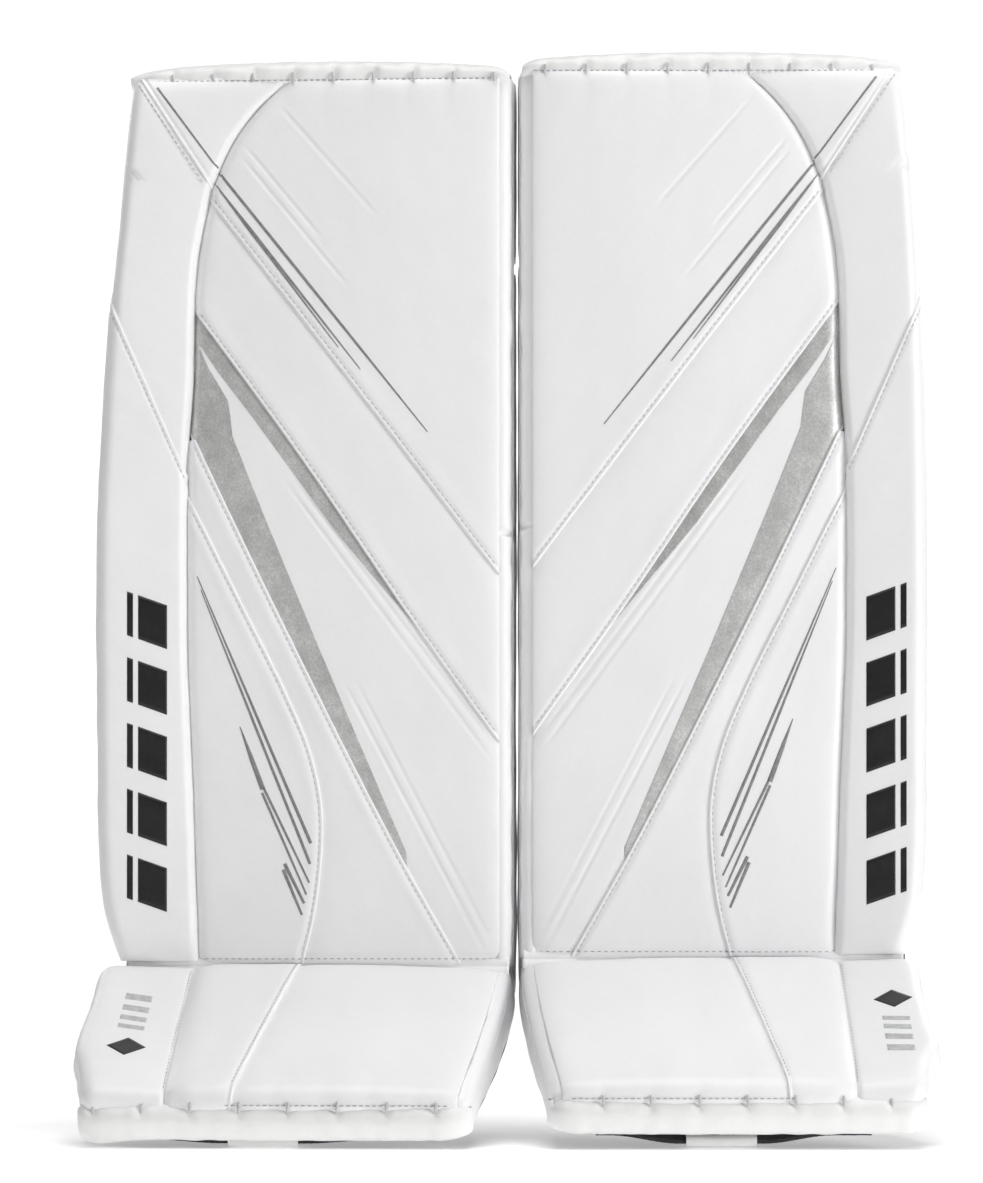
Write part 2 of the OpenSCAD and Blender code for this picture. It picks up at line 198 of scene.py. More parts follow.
class Pad:
    """Places a pad's own millimetres in the row frame, as its knee joint says."""

    def __init__(self, side):
        self.side = side
        knee = next(j for j in frame["joints"] if j["name"] == side + "_knee_flex")
        axis = Vector(knee["axis"]).normalized()
        self.ex = axis if side == "right" else -axis
        self.ey = Vector((-self.ex.y, self.ex.x, 0))
        if self.ey.y < 0:
            self.ey.negate()
        self.origin = Vector(knee["pos_m"]) - self.ex * PAD_W / 2 * MM
        self.origin.z -= (ANKLE_Z + KNEE) * MM
        self.flip = side == "right"

    def place(self, p):
        p = np.asarray(p, float) * MM
        ex, ey = np.array(self.ex), np.array(self.ey)
        out = p[..., :1] * ex + p[..., 1:2] * ey + p[..., 2:] * np.array((0, 0, 1.0))
        return out + np.array(self.origin)

    def leg(self, x, y, up):
        return self.place(np.stack(np.broadcast_arrays(x, y, np.asarray(up, float) + ANKLE_Z), -1))

    def boot(self, x, y, down):
        """A point drawn on the boot as it hangs straight down from the crease."""
        x, y, down = np.broadcast_arrays(*(np.asarray(v, float) for v in (x, y, down)))
        c, s = math.cos(math.radians(BOOT_ANGLE)), math.sin(math.radians(BOOT_ANGLE))
        return self.place(np.stack([x, y * c + down * s, ANKLE_Z - y * s + down * c], -1))


PADS = {side: Pad(side) for side in SIDES}


# ---- Meshes ------------------------------------------------------------------------------

def make(name, verts, faces, pad, material, smooth=True):
    """One mesh object; faces are turned round on the mirrored pad."""
    mesh = bpy.data.meshes.new(name)
    if pad.flip:
        faces = [tuple(reversed(f)) for f in faces]
    mesh.from_pydata([tuple(v) for v in np.asarray(verts).reshape(-1, 3)], [], faces)
    obj = bpy.data.objects.new(name, mesh)
    bpy.context.scene.collection.objects.link(obj)
    for m in material if isinstance(material, (list, tuple)) else [material]:
        mesh.materials.append(m)
    mesh.polygons.foreach_set("use_smooth", [smooth] * len(mesh.polygons))
    mesh.update()
    return obj


def grid_faces(rows, cols, start=0, wrap=False):
    faces = []
    for r in range(rows - 1):
        for c in range(cols if wrap else cols - 1):
            a = start + r * cols + c
            b = start + r * cols + (c + 1) % cols
            faces.append((a, b, b + cols, a + cols))
    return faces


def slab_parts(front, back):
    """Vertices and faces of a closed sheet between two grids of one shape (rows x columns x 3)."""
    rows, cols = front.shape[:2]
    n = rows * cols
    faces = grid_faces(rows, cols) + [tuple(reversed(f)) for f in grid_faces(rows, cols, n)]
    ring = ([(0, c) for c in range(cols)] + [(r, cols - 1) for r in range(1, rows)]
            + [(rows - 1, c) for c in range(cols - 2, -1, -1)]
            + [(r, 0) for r in range(rows - 2, 0, -1)])
    for (r0, c0), (r1, c1) in zip(ring, ring[1:] + ring[:1]):
        a, b = r0 * cols + c0, r1 * cols + c1
        faces.append((b, a, a + n, b + n))
    return np.concatenate([front.reshape(-1, 3), back.reshape(-1, 3)]), faces


def slab(name, front, back, pad, material):
    """The same as one object."""
    return make(name, *slab_parts(front, back), pad, material)


def tube(rings):
    """Vertices and faces of a closed tube through rings (count x around x 3)."""
    count, around = rings.shape[:2]
    last = (count - 1) * around
    faces = grid_faces(count, around, wrap=True)
    faces += [tuple(reversed(range(around))), tuple(range(last, last + around))]
    return rings.reshape(-1, 3), faces


def spread(lo_edge, hi_edge, span, step):
    """Rows as (mm from the low edge, mm from the high edge, share of what is between)."""
    rows = [(d, 0, 0.0) for d in lo_edge]
    n = max(2, int(span / step))
    rows += [(lo_edge[-1], hi_edge[-1], i / n) for i in range(1, n)]
    rows += [(0, d, 1.0) for d in reversed(hi_edge)]
    return rows


FINE = (0, 0.12, 0.4, 0.9, 1.6, 2.5, 3.6, 5.2, 7.5)
SOFT = (0, 0.5, 1.4, 2.8, 5, 8)


def region(lo, hi, left, right, rows, cols):
    """Grid of (x, up) between curves lo(x), hi(x), left(up) and right(up)."""
    ra, rb, rf = (np.array(v)[:, None] for v in zip(*rows))
    ca, cb, cf = (np.array(v)[None, :] for v in zip(*cols))
    x = np.broadcast_to(100.0, (len(rows), len(cols)))
    z = np.broadcast_to(150.0, x.shape)
    top_r, top_c = ra.max() + rb.max(), ca.max() + cb.max()
    for _ in range(40):
        l, r = left(z), right(z)
        w = np.maximum(r - l, 0)
        k = np.minimum(1, w / (top_c + 1e-9))
        x = l + ca * k + cf * np.maximum(w - (ca + cb) * k, 0)
        b, t = lo(x), hi(x)
        h = np.maximum(t - b, 0)
        k = np.minimum(1, h / (top_r + 1e-9))
        z = 0.4 * z + 0.6 * (b + ra * k + rf * np.maximum(h - (ra + rb) * k, 0))
    return x, z


def join(name, parts, pad, material, smooth=True):
    """One object of many small meshes, each (vertices, faces)."""
    verts, faces, n = [], [], 0
    for v, f in parts:
        v = np.asarray(v).reshape(-1, 3)
        verts.append(v)
        faces += [tuple(i + n for i in face) for face in f]
        n += len(v)
    return make(name, np.concatenate(verts), faces, pad, material, smooth)


def smooth_normals(obj, angle):
    """Keeps edges sharper than the angle sharp."""
    mesh = obj.data
    bm = bmesh.new()
    bm.from_mesh(mesh)
    limit = math.radians(angle)
    for e in bm.edges:
        if len(e.link_faces) == 2 and e.calc_face_angle(0) > limit:
            e.smooth = False
    bm.to_mesh(mesh)
    bm.free()


def coords(mesh):
    """Vertices of a mesh (n x 3, in metres)."""
    co = np.empty(len(mesh.vertices) * 3)
    mesh.vertices.foreach_get("co", co)
    return co.reshape(-1, 3)


KNEE_BLEND = (6.0, 10.0)     # distances below and above the knee break, from which attach() makes two points that nothing uses


def attach(pad, obj, body, *nodes, slot=None, padded=None):
    """Says which body of the pad an object rides on, or the word knee to leave it fixed where it is
    built, and which nodes of the part it stands in for; slot and padded are not used."""
    if body == "knee":
        a = pad.leg(MID_X, 0, KNEE - KNEE_BLEND[0])
        b = pad.leg(MID_X, 0, KNEE + KNEE_BLEND[1])
        tuple(a)
        tuple(b)
        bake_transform(obj)
    else:
        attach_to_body(obj, f"{pad.side}_{body}")
    if nodes:
        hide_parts(*(f"{pad.side}_{node}" for node in nodes))
    return obj


def sewn(pad, name, parts, body, material=None):
    """Stitches, as one object."""
    obj = join(f"{pad.side}_{name}", parts, pad, material or THREAD)
    return attach(pad, obj, body, slot="thread")


# ---- Materials ---------------------------------------------------------------------------

class Mat:
    """A small node builder round one Principled shader."""

    def __init__(self, name, roughness=0.5, metallic=0.0, color=(0.8, 0.8, 0.8), sheen=0.0,
                 specular=0.5, coat=0.0):
        self.m = bpy.data.materials.new(name)
        self.m.use_nodes = True
        self.t = self.m.node_tree
        self.b = self.t.nodes["Principled BSDF"]
        self.b.inputs["Roughness"].default_value = roughness
        self.b.inputs["Metallic"].default_value = metallic
        self.b.inputs["Base Color"].default_value = (*color, 1)
        self.b.inputs["Sheen Weight"].default_value = sheen
        self.b.inputs["Specular IOR Level"].default_value = specular
        self.b.inputs["Coat Weight"].default_value = coat
        self.coord = self.node("ShaderNodeTexCoord").outputs["Object"]
        self.height = None

    def node(self, kind, **props):
        n = self.t.nodes.new(kind)
        for k, v in props.items():
            setattr(n, k, v)
        return n

    def link(self, a, b):
        self.t.links.new(a, b)

    def noise(self, scale, detail=2.0, rough=0.5):
        n = self.node("ShaderNodeTexNoise")
        n.inputs["Scale"].default_value = scale
        n.inputs["Detail"].default_value = detail
        n.inputs["Roughness"].default_value = rough
        self.link(self.coord, n.inputs["Vector"])
        return n.outputs["Fac"]

    def cells(self, scale, feature="F1"):
        n = self.node("ShaderNodeTexVoronoi", feature=feature)
        n.inputs["Scale"].default_value = scale
        self.link(self.coord, n.inputs["Vector"])
        return n.outputs["Distance"]

    def wave(self, scale, direction):
        n = self.node("ShaderNodeTexWave", bands_direction=direction)
        n.inputs["Scale"].default_value = scale
        self.link(self.coord, n.inputs["Vector"])
        return n.outputs["Fac"]

    def math(self, op, a, b):
        n = self.node("ShaderNodeMath", operation=op)
        for i, v in enumerate((a, b)):
            if isinstance(v, (int, float)):
                n.inputs[i].default_value = v
            else:
                self.link(v, n.inputs[i])
        return n.outputs[0]

    def ramp(self, fac, *stops):
        n = self.node("ShaderNodeValToRGB")
        e = n.color_ramp.elements
        while len(e) < len(stops):
            e.new(0.5)
        for el, (pos, col) in zip(e, stops):
            el.position = pos
            el.color = (*col, 1)
        self.link(fac, n.inputs["Fac"])
        return n.outputs["Color"]

    def color(self, out):
        self.link(out, self.b.inputs["Base Color"])

    def rough(self, fac, lo, hi):
        n = self.node("ShaderNodeMapRange")
        n.inputs["To Min"].default_value = lo
        n.inputs["To Max"].default_value = hi
        self.link(fac, n.inputs["Value"])
        self.link(n.outputs["Result"], self.b.inputs["Roughness"])

    def bump(self, height, strength, dist):
        n = self.node("ShaderNodeBump")
        n.inputs["Strength"].default_value = strength
        n.inputs["Distance"].default_value = dist
        self.link(height, n.inputs["Height"])
        if self.height is not None:
            self.link(self.height, n.inputs["Normal"])
        self.height = n.outputs["Normal"]
        self.link(self.height, self.b.inputs["Normal"])


def leather(name, light, dark, rough=(0.36, 0.5), grain=1.0):
    m = Mat(name, specular=0.45, sheen=0.05)
    patch = m.noise(9, 4, 0.55)
    fine = m.noise(260, 3, 0.6)
    tone = m.math("ADD", m.math("MULTIPLY", patch, 0.7), m.math("MULTIPLY", fine, 0.3))
    m.color(m.ramp(tone, (0.3, dark), (0.62, light)))
    m.rough(m.noise(70, 4, 0.6), *rough)
    m.bump(m.noise(55, 3, 0.5), 0.16 * grain, 0.0016)
    pores = m.cells(820, feature="SMOOTH_F1")
    m.bump(m.math("ADD", pores, m.math("MULTIPLY", m.noise(2200, 2, 0.6), 0.6)),
           0.22 * grain, 0.00022)
    return m.m


def weave(name, color, scale=900, rough=0.8, sheen=0.25, contrast=0.5):
    m = Mat(name, rough, color=color, sheen=sheen, specular=0.3)
    w = m.math("MAXIMUM", m.wave(scale, "X"), m.wave(scale, "Z"))
    tone = m.math("MULTIPLY", w, m.noise(350, 3, 0.7))
    dark = tuple(c * contrast for c in color)
    m.color(m.ramp(tone, (0.15, dark), (0.6, color)))
    m.rough(m.noise(120, 3), rough - 0.12, min(1, rough + 0.1))
    m.bump(w, 0.5, 0.0004)
    m.bump(m.noise(1500, 2), 0.25, 0.0002)
    return m.m


WHITE = leather("white_leather", (0.90, 0.90, 0.905), (0.865, 0.865, 0.875))
WHITE_SOFT = leather("white_binding", (0.88, 0.878, 0.872), (0.835, 0.83, 0.82), (0.42, 0.56),
                     1.3)
THREAD = weave("thread", (0.78, 0.78, 0.77), 2600, 0.7, 0.2, 0.75)
# Painted shade: the same thread made darker, for rows in creases, at seams under the bindings and
# behind the pad
THREAD_PAINTED_SHADE = weave("thread_in_shade", (0.52, 0.52, 0.55), 2600, 0.7, 0.2, 0.75)


def silver():
    m = Mat("silver_film", 0.4, 0.4, (0.36, 0.365, 0.35), specular=0.6)
    spark = m.cells(1500)
    tone = m.math("ADD", m.math("MULTIPLY", m.noise(620, 4, 0.75), 0.6),
                  m.math("MULTIPLY", m.noise(60, 3, 0.6), 0.4))
    m.color(m.ramp(tone, (0.32, (0.42, 0.422, 0.412)), (0.5, (0.57, 0.575, 0.56)),
                   (0.72, (0.84, 0.845, 0.83))))
    m.rough(spark, 0.28, 0.6)
    m.bump(m.noise(900, 3, 0.7), 0.3, 0.0003)
    return m.m


def ink(name, color, rough=0.42):
    m = Mat(name, rough, color=color, specular=0.4)
    tone = m.noise(300, 4, 0.65)
    m.color(m.ramp(tone, (0.3, tuple(c * 0.8 for c in color)),
                   (0.7, tuple(c * 1.25 for c in color))))
    m.rough(m.noise(160, 3), rough - 0.08, rough + 0.1)
    m.bump(m.noise(900, 2), 0.12, 0.0002)
    return m.m


SILVER = silver()
GREY_INK = ink("grey_ink", (0.24, 0.24, 0.235))
PALE_INK = ink("pale_ink", (0.5, 0.5, 0.51))
BLACK_INK = ink("black_ink", (0.012, 0.012, 0.013), 0.38)
LINER = weave("liner_knit", (0.83, 0.83, 0.84), 620, 0.85, 0.3, 0.82)
NYLON = weave("black_nylon", (0.022, 0.022, 0.026), 700, 0.6, 0.15, 0.5)
WEBBING = weave("webbing", (0.03, 0.03, 0.034), 420, 0.75, 0.25, 0.45)
LOOP = weave("loop_pile", (0.05, 0.05, 0.056), 1800, 0.95, 0.6, 0.4)
BLACK_LEATHER = leather("black_leather", (0.03, 0.03, 0.033), (0.018, 0.018, 0.02), (0.4, 0.55),
                        1.6)


def metal(name, color, rough):
    m = Mat(name, rough, 1.0, color)
    m.color(m.ramp(m.noise(200, 4), (0.3, tuple(c * 0.8 for c in color)), (0.7, color)))
    m.rough(m.noise(500, 3), rough - 0.08, rough + 0.12)
    m.bump(m.noise(1200, 2), 0.08, 0.0001)
    return m.m


NICKEL = metal("nickel", (0.62, 0.61, 0.59), 0.28)
PLASTIC = leather("moulded_plastic", (0.05, 0.05, 0.052), (0.03, 0.03, 0.032), (0.42, 0.55), 0.6)


# ---- Surface of the face -----------------------------------------------------------------

FACE_X = 8.5          # medial edge of the face panels
STITCH_IN = 2.6       # how far a row of stitches is from its lapped edge
ANKLE_ROW = 6.0       # height of the stitched row above the ankle crease
LEVEL = {"upper": 2.4, "band": 1.2, "center": 0.0, "lower": 1.2, "overlay": 2.4}

# Ties of the top and toe bindings: each pad's own were sewn where the hand fell
TOP_TIES = {"right": [11.5 + 27.6 * k for k in range(9)],
            "left": [17.0 + 27.9 * k for k in range(9)]}
TOE_TIES = {"right": [39.5 + 32.0 * k for k in range(8)],
            "left": [21.5 + 31.1 * k for k in range(8)]}
SEAM_RISE = 3.2       # how far the panels stand proud at the seam of the top binding

# Lines pressed into the face: ends (x, up), half width and depth
PRESSED = (
    ((159, 590), (91, 513), 1.35, 1.0), ((183, 563), (130, 499), 1.35, 0.9),
    ((185, 555), (111, 465), 1.35, 0.9), ((157, 335), (12, 140), 1.35, 0.9),
    ((151, 337), (10, 149), 1.35, 0.9), ((115, 196), (15, 5), 1.35, 0.9),
    ((108, 199), (11, 12), 1.35, 0.7),
)


def base_height(x, z):
    """How far the face stands proud of the pad's front plane, before its panels."""
    right = roll_edge(z) - x
    left = x - FACE_X
    h = 2.6 + 3.4 * np.sin(np.clip(left / np.maximum(left + right, 60), 0, 1) * math.pi) ** 0.8
    h = h - 6.0 * fade(right, 2.4) - 1.8 * fade(left, 4.0)
    # dips to the ankle crease under its stitched row
    dip = np.clip((ANKLE_ROW + 2 - z) / (ANKLE_ROW + 2), 0, 1)
    h = h - 4.8 * dip**2 - 1.3 * groove(z - ANKLE_ROW, 1.3) - 2.0 * fade(z - ANKLE_ROW, 9.0)
    for a, b, width, depth in PRESSED:
        t, d = along(x, z, a, b)
        ease = np.clip(np.minimum(t, 1 - t) * 9, 0, 1)
        h = h - depth * ease * (groove(d, width) - 0.35 * groove(d, width * 2.2))
    return h


def pucker(x, ties, width):
    """How much the cloth is drawn in at x by ties, from 0 to 1."""
    return sum(groove(x - t, width) for t in ties)


def face_height(kind, x, z, edge=None):
    """Height of a panel; edge is the line of its lapped edge."""
    h = base_height(x, z) + LEVEL[kind]
    tucked = {"band": [seam_points(seam_a)], "center": [seam_points(seam_b), seam_points(seam_c)],
              "lower": [seam_d.line(-5, 330)]}.get(kind, [])
    for line in tucked:
        d = distance(x, z, line)
        h = h - 1.1 * np.exp(-d / 4.5)
    if edge is not None:
        d = distance(x, z, edge)
        h = h - 0.85 * groove(d - STITCH_IN, 1.15) + 0.35 * groove(d - 7, 4)
        h = h - 1.5 * (1 - quarter(d, 1.3))
    if kind == "overlay":
        h = h - 1.6 * fade(z, 5)
    h = h + 0.28 * ripple(x, z, 95, 11) + 0.10 * ripple(x, z, 33, 5)
    # eases back to the seam of the top binding, drawn in at each tie
    below = np.clip(FACE_TOP + 1 - z, 0, None)
    h = h - pucker(x, TOP_TIES["left"], 5.0) * 1.0 * np.exp(-below / 13)
    return SEAM_RISE + (h - SEAM_RISE) * (1 - fade(below, 5.0))


def face_panel(pad, name, kind, lo, hi, left, right, rows, cols, edge, material=None, lift=0.0,
               thick=3.2, limit=True):
    x, z = region(lo, hi, left, right, rows, cols)
    h = face_height(kind, x, z, edge) + lift
    front = pad.leg(x, -h, z)
    back = pad.leg(x, np.maximum(-h + thick, 1.6) if limit else -h + thick, z)
    return slab(name, front, back, pad, material or WHITE)


def capsule(a, b, normal, radius, lift=0.35, sides=6, arch=0.6):
    """A stitch from a to b: a short bowed tube, half sunk in the surface."""
    a, b, n = (np.asarray(v, float) for v in (a, b, normal))
    axis = b - a
    length = np.linalg.norm(axis)
    axis = axis / length
    side = np.cross(axis, n)
    side = side / np.linalg.norm(side)
    up = np.cross(side, axis)
    rings = []
    for t, k in ((0, 0.35), (0.12, 0.85), (0.5, 1.0), (0.88, 0.85), (1, 0.35)):
        c = a + axis * length * t + up * radius * (lift + arch * math.sin(math.pi * t) - 0.4)
        ring = [c + radius * k * (side * math.cos(q) + up * math.sin(q))
                for q in np.linspace(0, 2 * math.pi, sides, endpoint=False)]
        rings.append(ring)
    return tube(np.array(rings))


def stitch_row(points, normal, pitch=4.4, length=3.1, radius=0.42, seed=1):
    """Stitches along a row of points (n x 3, in metres)."""
    rng = np.random.default_rng(seed)
    p = np.asarray(points)
    s = lengths(p)
    parts, at = [], pitch * 0.5
    while at * MM + length * MM < s[-1]:
        j = at + rng.uniform(-0.12, 0.12)
        ends = sampled(p, np.array((j, j + length)) * MM)
        parts.append(capsule(*ends, normal, radius * MM))
        at += pitch
    return parts


def offset_line(line, d):
    """A polyline (n x 2) moved sideways by d, to the left of its direction."""
    t = np.gradient(line, axis=0)
    t = t / np.linalg.norm(t, axis=1)[:, None]
    return line + d * np.stack([-t[:, 1], t[:, 0]], 1)


def on_face(pad, kind, line, edge):
    x, z = line.T
    return pad.leg(x, -face_height(kind, x, z, edge), z)


def clip_line(line, left, right, low):
    x, z = line.T
    return line[(x >= left) & (x <= right(z)) & (z >= low)]


def strip(pad, kind, edge, a, b, widths, lift=0.22):
    """A thin printed line on the face, from a to b, with its half widths along the way."""
    t = np.linspace(0, 1, 60)
    a, b = np.array(a, float), np.array(b, float)
    line = a + (b - a) * t[:, None]
    w = np.interp(t, [i / (len(widths) - 1) for i in range(len(widths))], widths)
    d = (b - a) / np.linalg.norm(b - a)
    side = np.array([-d[1], d[0]])
    cols = np.linspace(-1, 1, 4)
    x = line[:, None, 0] + side[0] * w[:, None] * cols
    z = line[:, None, 1] + side[1] * w[:, None] * cols
    h = face_height(kind, x, z, edge) + lift
    return slab_parts(pad.leg(x, -h, z), pad.leg(x, -h + lift + 0.4, z))


def build_face(pad):
    s = pad.side
    edge_a, edge_b, edge_c = (seam_points(v) for v in (seam_a, seam_b, seam_c))
    edge_d = seam_d.line(-12, 335)
    under = 6.0           # how far each panel runs on under the next
    left = const(FACE_X)
    right = lambda z: roll_edge(z) + 1.2
    cols = spread(SOFT, SOFT, 200, 1.7)

    upper = face_panel(pad, s + "_face_upper", "upper", seam_a, const(FACE_TOP + 1), left, right,
                       spread(FINE, SOFT, 300, 1.8), cols, edge_a)
    attach(pad, upper, "knee", "shin_panel_upper", "thigh_face", padded=0.9)

    band = face_panel(pad, s + "_face_band", "band", seam_b, lambda x: seam_a(x) + under, left,
                      right, spread(FINE, SOFT, 105, 2.6), cols, edge_b)
    attach(pad, band, "knee", "shin_panel_band", padded=0.9)

    center = face_panel(pad, s + "_face_center", "center",
                        lambda x: np.maximum(seam_c(x) - under, 1.5),
                        lambda x: seam_b(x) + under, left, right,
                        spread(SOFT, SOFT, 150, 1.7), cols, None)
    attach(pad, center, "shin", "shin_panel_center", "shin_board", padded=0.9)

    # The lower panel narrows to a point on the roll, so its rows run across it
    lower_left = lambda z: np.maximum(seam_c_x(z), FACE_X)
    lower = face_panel(pad, s + "_face_lower", "lower", const(1.5), const(362.0), lower_left,
                       lambda z: np.minimum(seam_d(z) + under, roll_edge(z) + 1.2),
                       spread(SOFT, (0, 2, 5), 360, 1.8), spread(FINE, SOFT, 110, 1.8), edge_c)
    attach(pad, lower, "shin", padded=0.9)

    overlay = face_panel(pad, s + "_face_overlay", "overlay", const(2.7), const(325.0), seam_d,
                         right, spread(SOFT, (0, 2, 5), 325, 2.6), spread(FINE, SOFT, 80, 2.6),
                         edge_d)
    attach(pad, overlay, "shin", "shin_panel_lower", padded=0.9)

    # Silver blades on the centre panel
    blade_low = Curve([(43, 206), (120, 298), (176, 375), (202, 409), (214, 427)], smooth=False)
    blade_top = Curve([(70, 75), (130, 215), (168, 306), (192.0, 366), (193.4, 387), (208, 411),
                       (217.5, 432)], smooth=False)
    for name, lo, hi, first, low_rows, high_rows, span in (
            ("upper", blade_low, lambda x: seam_b(x) + 2.5, 44.0, (0, 1, 3), (0, 2), 170),
            ("lower", lambda x: seam_c(x) - 2.5, blade_top, 71.0, (0, 2), (0, 1, 3), 150)):
        blade = face_panel(pad, f"{s}_silver_blade_{name}", "center", lo, hi, const(first),
                           lambda z: roll_edge(z) - 0.4, spread(low_rows, high_rows, 30, 2.4),
                           spread((0, 1, 2.5, 5), SOFT, span, 2.6), None, SILVER, 0.22, 0.6, False)
        attach(pad, blade, "shin", slot="silver_film")

    # Thin printed lines: their ends, their half widths and how proud they stand
    for name, kind, edge, body, lines in (
            ("upper", "upper", edge_a, "knee", (
                ((201.5, 546), (57, 366), (0.9, 1.0, 0.8, 0.35)),
                ((204, 538), (103, 409), (0.35, 0.9, 0.8, 0.6, 0.3), 0.30),
                ((200, 532), (118, 424), (0.2, 0.8, 0.7, 0.5, 0.25), 0.26))),
            ("lower", "overlay", edge_d, "shin", (
                ((215.5, 268), (137, 85), (0.3, 0.9, 1.1)),
                ((213, 259), (137.5, 71), (0.3, 0.9, 1.0)),
                ((186, 165), (170, 122), (0.3, 1.5, 1.8)),
                ((170, 124), (138, 58), (0.9, 0.8, 0.6)),
                ((170.5, 119.5), (140, 50), (0.9, 0.8, 0.6)),
                ((155, 71), (141.5, 44), (1.2, 0.9)), ((156, 67), (143, 36), (1.2, 0.8))))):
        parts = [strip(pad, kind, edge, *line) for line in lines]
        attach(pad, join(f"{s}_printed_lines_{name}", parts, pad, GREY_INK), body,
               slot="printed_ink")

    # Rows of stitches beside the lapped edges and over the ankle
    front = -np.array(pad.ey)
    for key, kind, edge, inwards, body in (
            ("a", "upper", edge_a, STITCH_IN, "knee"), ("b", "band", edge_b, STITCH_IN, "knee"),
            ("c", "lower", edge_c, -STITCH_IN, "shin"),
            ("d", "overlay", edge_d, -STITCH_IN, "shin")):
        line = clip_line(offset_line(edge, inwards), FACE_X + 1, lambda z: roll_edge(z) - 2, 3)
        parts = stitch_row(on_face(pad, kind, line, edge), front, seed=ord(key))
        sewn(pad, "stitches_" + key, parts, body)
    x = np.linspace(FACE_X + 2, 214, 160)
    z = np.full_like(x, ANKLE_ROW)
    kind_y = np.where(x < seam_c_x(ANKLE_ROW), face_height("center", x, z),
                      np.where(x < seam_d(ANKLE_ROW), face_height("lower", x, z, edge_c),
                               face_height("overlay", x, z, edge_d)))
    parts = stitch_row(pad.leg(x, -kind_y, z), front, pitch=4.6, length=3.0, radius=0.5, seed=4)
    sewn(pad, "stitches_ankle", parts, "shin", THREAD_PAINTED_SHADE)


# ---- Outer roll --------------------------------------------------------------------------

ROLL_BASE = 3.0        # depth at which the roll leaves the face
ROLL_SIDE = 27.0       # depth of the piping down the pad's outer side
SIDE_P = 0.5           # what the side adds to the roll's parameter


class Roll:
    """The outer roll's surface. p runs from 0 at the face to 1 at the outer edge, then down the
    side to 1.5; z is a height, or on the boot a distance from the crease."""

    def __init__(self, point, inner, outer, rise, side, swell=None):
        self.point, self.inner, self.edge, self.rise, self.side = point, inner, outer, rise, side
        self.swell = swell or const(0.0)

    def outer(self, z):
        return self.edge(z) + self.swell(z)

    def section(self, p, z):
        inner, outer = self.inner(z) + 0.2, self.outer(z) + 0.6
        share = (1 - np.cos(math.pi * np.clip(p, 0, 1))) / 2
        near, far = share * (outer - inner), (1 - share) * (outer - inner)
        rise = self.rise(z)
        high = ROLL_BASE + rise * (0.40 + 0.60 * (near / (near + far)) ** 0.85)
        down = np.clip(p - 1, 0, None) / SIDE_P
        x = inner + near + 1.2 * np.sin(math.pi * down) - self.swell(z) * (
            1 - np.cos(math.pi * np.clip(down, 0, 1))) / 2
        y = ROLL_BASE - high * quarter(near, 5.0) * quarter(far, 10.0) ** 0.9 + down * (
            self.side(z) - ROLL_BASE)
        return x, y

    def u(self, p, z):
        """Distance across the surface: x on the front, and on past the edge down the side."""
        x, _ = self.section(np.clip(p, 0, 1), z)
        return x + np.clip(p - 1, 0, None) / SIDE_P * (self.side(z) - ROLL_BASE)

    def p(self, u, z):
        inner, outer = self.inner(z) + 0.2, self.outer(z) + 0.6
        f = np.clip((u - inner) / (outer - inner), 0, 1)
        down = np.clip(u - outer, 0, None) / (self.side(z) - ROLL_BASE)
        return np.arccos(1 - 2 * f) / math.pi + down * SIDE_P

    def place(self, p, z, out):
        e = 2e-3
        x, y = self.section(p, z)
        x0, y0 = self.section(p - e, z)
        x1, y1 = self.section(p + e, z)
        dx, dy = x1 - x0, y1 - y0
        n = np.hypot(dx, dy) + 1e-9
        return self.point(x + out * dy / n, y - out * dx / n, z)

    def grid(self, lo, hi, left, right, rows, cols):
        """Grid of (p, z): rows as from spread(), cols as shares from left(z) to right(z)."""
        ra, rb, rf = (np.array(v)[:, None] for v in zip(*rows))
        c = np.array(cols)[None, :]
        z = np.broadcast_to(200.0, (len(rows), len(cols)))
        total = ra.max() + rb.max()
        for _ in range(40):
            p = left(z) + (right(z) - left(z)) * c
            u = self.u(p, z)
            b, t = lo(u), hi(u)
            h = np.maximum(t - b, 0)
            k = np.minimum(1, h / (total + 1e-9))
            z = 0.4 * z + 0.6 * (b + ra * k + rf * np.maximum(h - (ra + rb) * k, 0))
        return p, z

    def panel(self, pad, name, lo, hi, left, right, rows, cols, level, edge=None, thick=3.0,
              seed=0, extra=None):
        p, z = self.grid(lo, hi, left, right, rows, cols)
        out = self.skin(self.u(p, z), z, level, edge, seed, extra)
        return slab(name, self.place(p, z, out), self.place(p, z, out - thick), pad, WHITE)

    @staticmethod
    def skin(u, z, level, edge=None, seed=0, extra=None):
        out = level + 0.16 * ripple(u, z, 80, 21 + seed) + 0.09 * ripple(u, z, 30, 22 + seed)
        if edge is not None:
            d = distance(u, z, edge)
            out = out - 0.8 * groove(d - STITCH_IN, 1.15) - 1.3 * (1 - quarter(d, 1.3))
        return out if extra is None else out + extra(u, z)

    def patch(self, corners, level, edge=None, seed=0, lift=0.2, n=16, m=12):
        """A thin printed patch with four corners (u, z), as (vertices, faces)."""
        a, b, c, d = (np.array(v, float) for v in corners)
        s, t = np.meshgrid(np.linspace(0, 1, n), np.linspace(0, 1, m))
        s, t = s[..., None], t[..., None]
        g = a * (1 - s) * (1 - t) + b * s * (1 - t) + c * s * t + d * (1 - s) * t
        u, z = g[..., 0], g[..., 1]
        out = self.skin(u, z, level, edge, seed) + lift
        p = self.p(u, z)
        return slab_parts(self.place(p, z, out), self.place(p, z, out - lift - 0.4))


